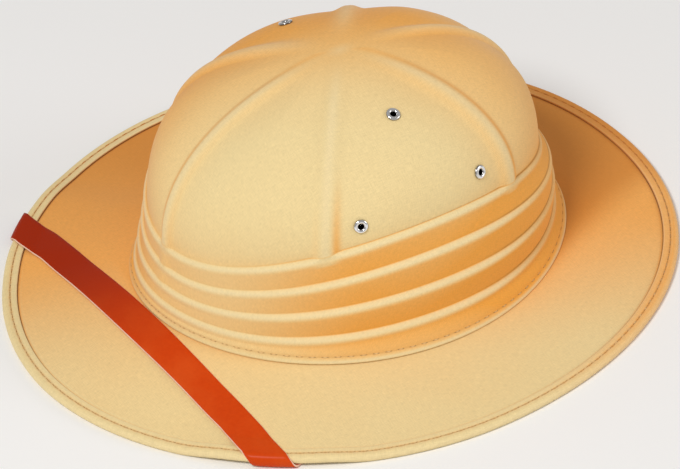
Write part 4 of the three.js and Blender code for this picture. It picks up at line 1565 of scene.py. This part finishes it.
crown_finish = cloth_material("crown_cloth", (PALE, DEEP, PAINTED_HIGHLIGHT), CROWN_SUN,
                              threads=2000, mottle=0.25)
brim_finish = cloth_material("brim_cloth", (PALE, BRIM_DEEP, PAINTED_HIGHLIGHT), BRIM_SUN,
                             threads=2000, mottle=0.3)
tape_finish = cloth_material("binding_cloth", (PALE, BRIM_DEEP, PAINTED_HIGHLIGHT), TAPE_SUN,
                             threads=2200, mottle=0.25)
thread_finish = cloth_material("sewing_thread", (THREAD, THREAD_DEEP, PAINTED_HIGHLIGHT), BRIM_SUN,
                               threads=2500, mottle=0.2, depth_mm=0.1)
crown.data.materials.append(crown_finish)
brim.data.materials.append(brim_finish)
binding.data.materials.append(tape_finish)
for thread in (edge_thread, under_thread, crown_thread):
    thread.data.materials.append(thread_finish)
print("cloth has", len(crown_finish.node_tree.nodes), "nodes in each material")

# %% [markdown]
# ## Leather
#
# The strap is smooth coated leather in rust red: a fine pebble grain, two close tones and a thin
# coat. Wear dulls and lightens it in patches, and the ramp that paints shade on the crown paints
# a darker shade on it on the same side. Its cut edges show the pale core.

# %% Make the leather
WEAR_RANGE = (0.45, 0.75)
GRAIN_FINENESS = 12.0
LEATHER_ROUGHNESS = (0.36, 0.62)
PEBBLE_SCALE = 1300.0
RUST = (0.66, 0.062, 0.003, 1)
RUST_DARK = (0.58, 0.048, 0.002, 1)
RUST_WORN = (0.70, 0.10, 0.012, 1)
RUST_SHADED = (0.36, 0.022, 0.0005, 1)
CORE = (0.86, 0.58, 0.44, 1)
CORE_WORN = (0.78, 0.36, 0.24, 1)


def wear_group():
    group, given, result = new_group("wear and dust", [
        ("Scale", "NodeSocketFloat", 60.0),
        ("Amount", "NodeSocketFloat", 0.3),
    ], [("Mask", "NodeSocketFloat"), ("Grain", "NodeSocketFloat")])
    place = object_place(group)
    scale = given.outputs["Scale"]
    patches = add_node(group, "ShaderNodeTexNoise", Vector=place, Scale=scale, Detail=5.0)
    highlight_and_wear = (0, given.outputs["Amount"])
    mask = add_range(group, patches.outputs["Fac"], WEAR_RANGE, highlight_and_wear)
    fine = add_math(group, "MULTIPLY", scale, GRAIN_FINENESS)
    grain = add_node(group, "ShaderNodeTexNoise", Vector=place, Scale=fine, Detail=2.0)
    set_sockets(group, result, Mask=mask, Grain=grain.outputs["Fac"])
    return group


wear = wear_group()


def worn_material(name, scale, amount):
    """A new material with the wear group in it: its tree, shader, mask and grain."""
    material, tree, shader = new_material(name)
    highlight_and_wear = add_node(tree, "ShaderNodeGroup", {"node_tree": wear}, Scale=scale, Amount=amount)
    return material, tree, shader, highlight_and_wear.outputs["Mask"], highlight_and_wear.outputs["Grain"]


def leather_material():
    material, tree, shader, mask, grain = worn_material("strap_leather", scale=45.0, amount=0.5)
    pebble = add_node(tree, "ShaderNodeTexVoronoi", {"feature": "SMOOTH_F1"},
                      Vector=object_place(tree), Scale=PEBBLE_SCALE)
    colour = add_mix(tree, grain, RUST_DARK, RUST)
    colour = add_mix(tree, mask, colour, RUST_WORN)
    # Painted shade: the strap darkens towards the side away from the light.
    colour = add_mix(tree, sun_share(tree, CROWN_SUN["painted_shade"]), colour, RUST_SHADED)
    set_sockets(tree, shader, Base_Color=colour,
                Roughness=add_range(tree, mask, (0, 1), LEATHER_ROUGHNESS),
                Normal=add_relief(tree, pebble.outputs["Distance"], strength=0.25, depth_mm=0.08),
                Specular_IOR_Level=0.07, Coat_Weight=0.06, Coat_Roughness=0.3)
    return material


def core_material():
    material, tree, shader, mask, grain = worn_material("strap_core", scale=160.0, amount=0.6)
    set_sockets(tree, shader, Base_Color=add_mix(tree, mask, CORE, CORE_WORN),
                Normal=add_relief(tree, grain, strength=0.4, depth_mm=0.1), Roughness=0.9)
    return material


strap.data.materials.append(leather_material())
strap.data.materials.append(core_material())
print("strap has", [material.name for material in strap.data.materials])

# %% [markdown]
# ## Plated metal
#
# The rings are nickel plate over brass: bright, a little scuffed. The same wear group
# that ages the leather roughens the plating here.

# %% Make the metal
NICKEL_ROUGHNESS = (0.12, 0.34)
NICKEL = (0.86, 0.86, 0.87, 1)
NICKEL_SCUFFED = (0.70, 0.68, 0.64, 1)
METAL_SHADE = (0.10, 0.09, 0.08, 1)


def metal_material():
    material, tree, shader, mask, grain = worn_material("eyelet_metal", scale=220.0, amount=1.0)
    colour = add_mix(tree, mask, NICKEL, NICKEL_SCUFFED)
    # Painted shade and dark reflection where the fold value is 1.
    set_sockets(tree, shader, Metallic=1.0,
                Base_Color=add_mix(tree, named_value(tree, "fold"), colour, METAL_SHADE),
                Roughness=add_range(tree, mask, (0, 1), NICKEL_ROUGHNESS),
                Normal=add_relief(tree, grain, strength=0.15, depth_mm=0.02))
    return material


metal_finish = metal_material()
for ring in eyelets:
    ring.data.materials.append(metal_finish)
print(metal_finish.name, "is on", len(eyelets), "rings")

# %% [markdown]
# ## Floor and light
#
# The hat rests on its rim on a plain pale floor. The main light is one large soft panel,
# high over the viewer's left shoulder. A weaker and warmer one stands low at the right. A
# sky with clouds could light it too, but pale surroundings of one tone leave the folds
# easier to read.

# %% Set the floor and the lights
FLOOR_SIZE = 12.0
PAPER = (0.93, 0.93, 0.93, 1)
LIGHTS_AIM = Vector((0, 0, 0.05))
LIGHTS = table("name place size watts colour", [
    ("key", Vector((0.895, -1.615, 2.36)), 0.9, 49.5, (1.0, 0.99, 0.97)),
    ("fill", Vector((1.79, 2.13, 1.12)), 1.5, 19, (1.0, 0.97, 0.94)),
])
SURROUNDINGS, SURROUNDINGS_STRENGTH = (1.0, 0.98, 0.96, 1), 0.39


def make_floor():
    half = FLOOR_SIZE / 2 / MM
    corners = [(-half, -half, 0), (half, -half, 0), (half, half, 0), (-half, half, 0)]
    floor = make_mesh("floor", corners, [[0, 1, 2, 3]])
    material, tree, shader = new_material("floor_paper")
    set_sockets(tree, shader, Base_Color=PAPER, Roughness=0.9)
    floor.data.materials.append(material)


def add_panel(name, place, size, watts, colour):
    data = bpy.data.lights.new(name, "AREA")
    data.shape = "DISK"
    data.size = size
    data.energy = watts
    data.color = colour
    panel = bpy.data.objects.new(name, data)
    aim = (LIGHTS_AIM - place).to_track_quat("-Z", "Y").to_matrix().to_4x4()
    panel.matrix_world = Matrix.Translation(place) @ aim
    bpy.context.scene.collection.objects.link(panel)


def set_view():
    """Show colours as they are, with no film curve over them."""
    bpy.context.scene.view_settings.view_transform = "Standard"
    bpy.context.scene.view_settings.look = "None"


def set_world(colour, strength):
    world = bpy.data.worlds.new("studio")
    world.use_nodes = True
    tree = world.node_tree
    set_sockets(tree, tree.nodes["Background"], Color=colour, Strength=strength)
    bpy.context.scene.world = world


make_floor()
set_view()
for light in LIGHTS:
    add_panel(**light)
set_world(SURROUNDINGS, SURROUNDINGS_STRENGTH)
print("lights:", [light["name"] for light in LIGHTS])
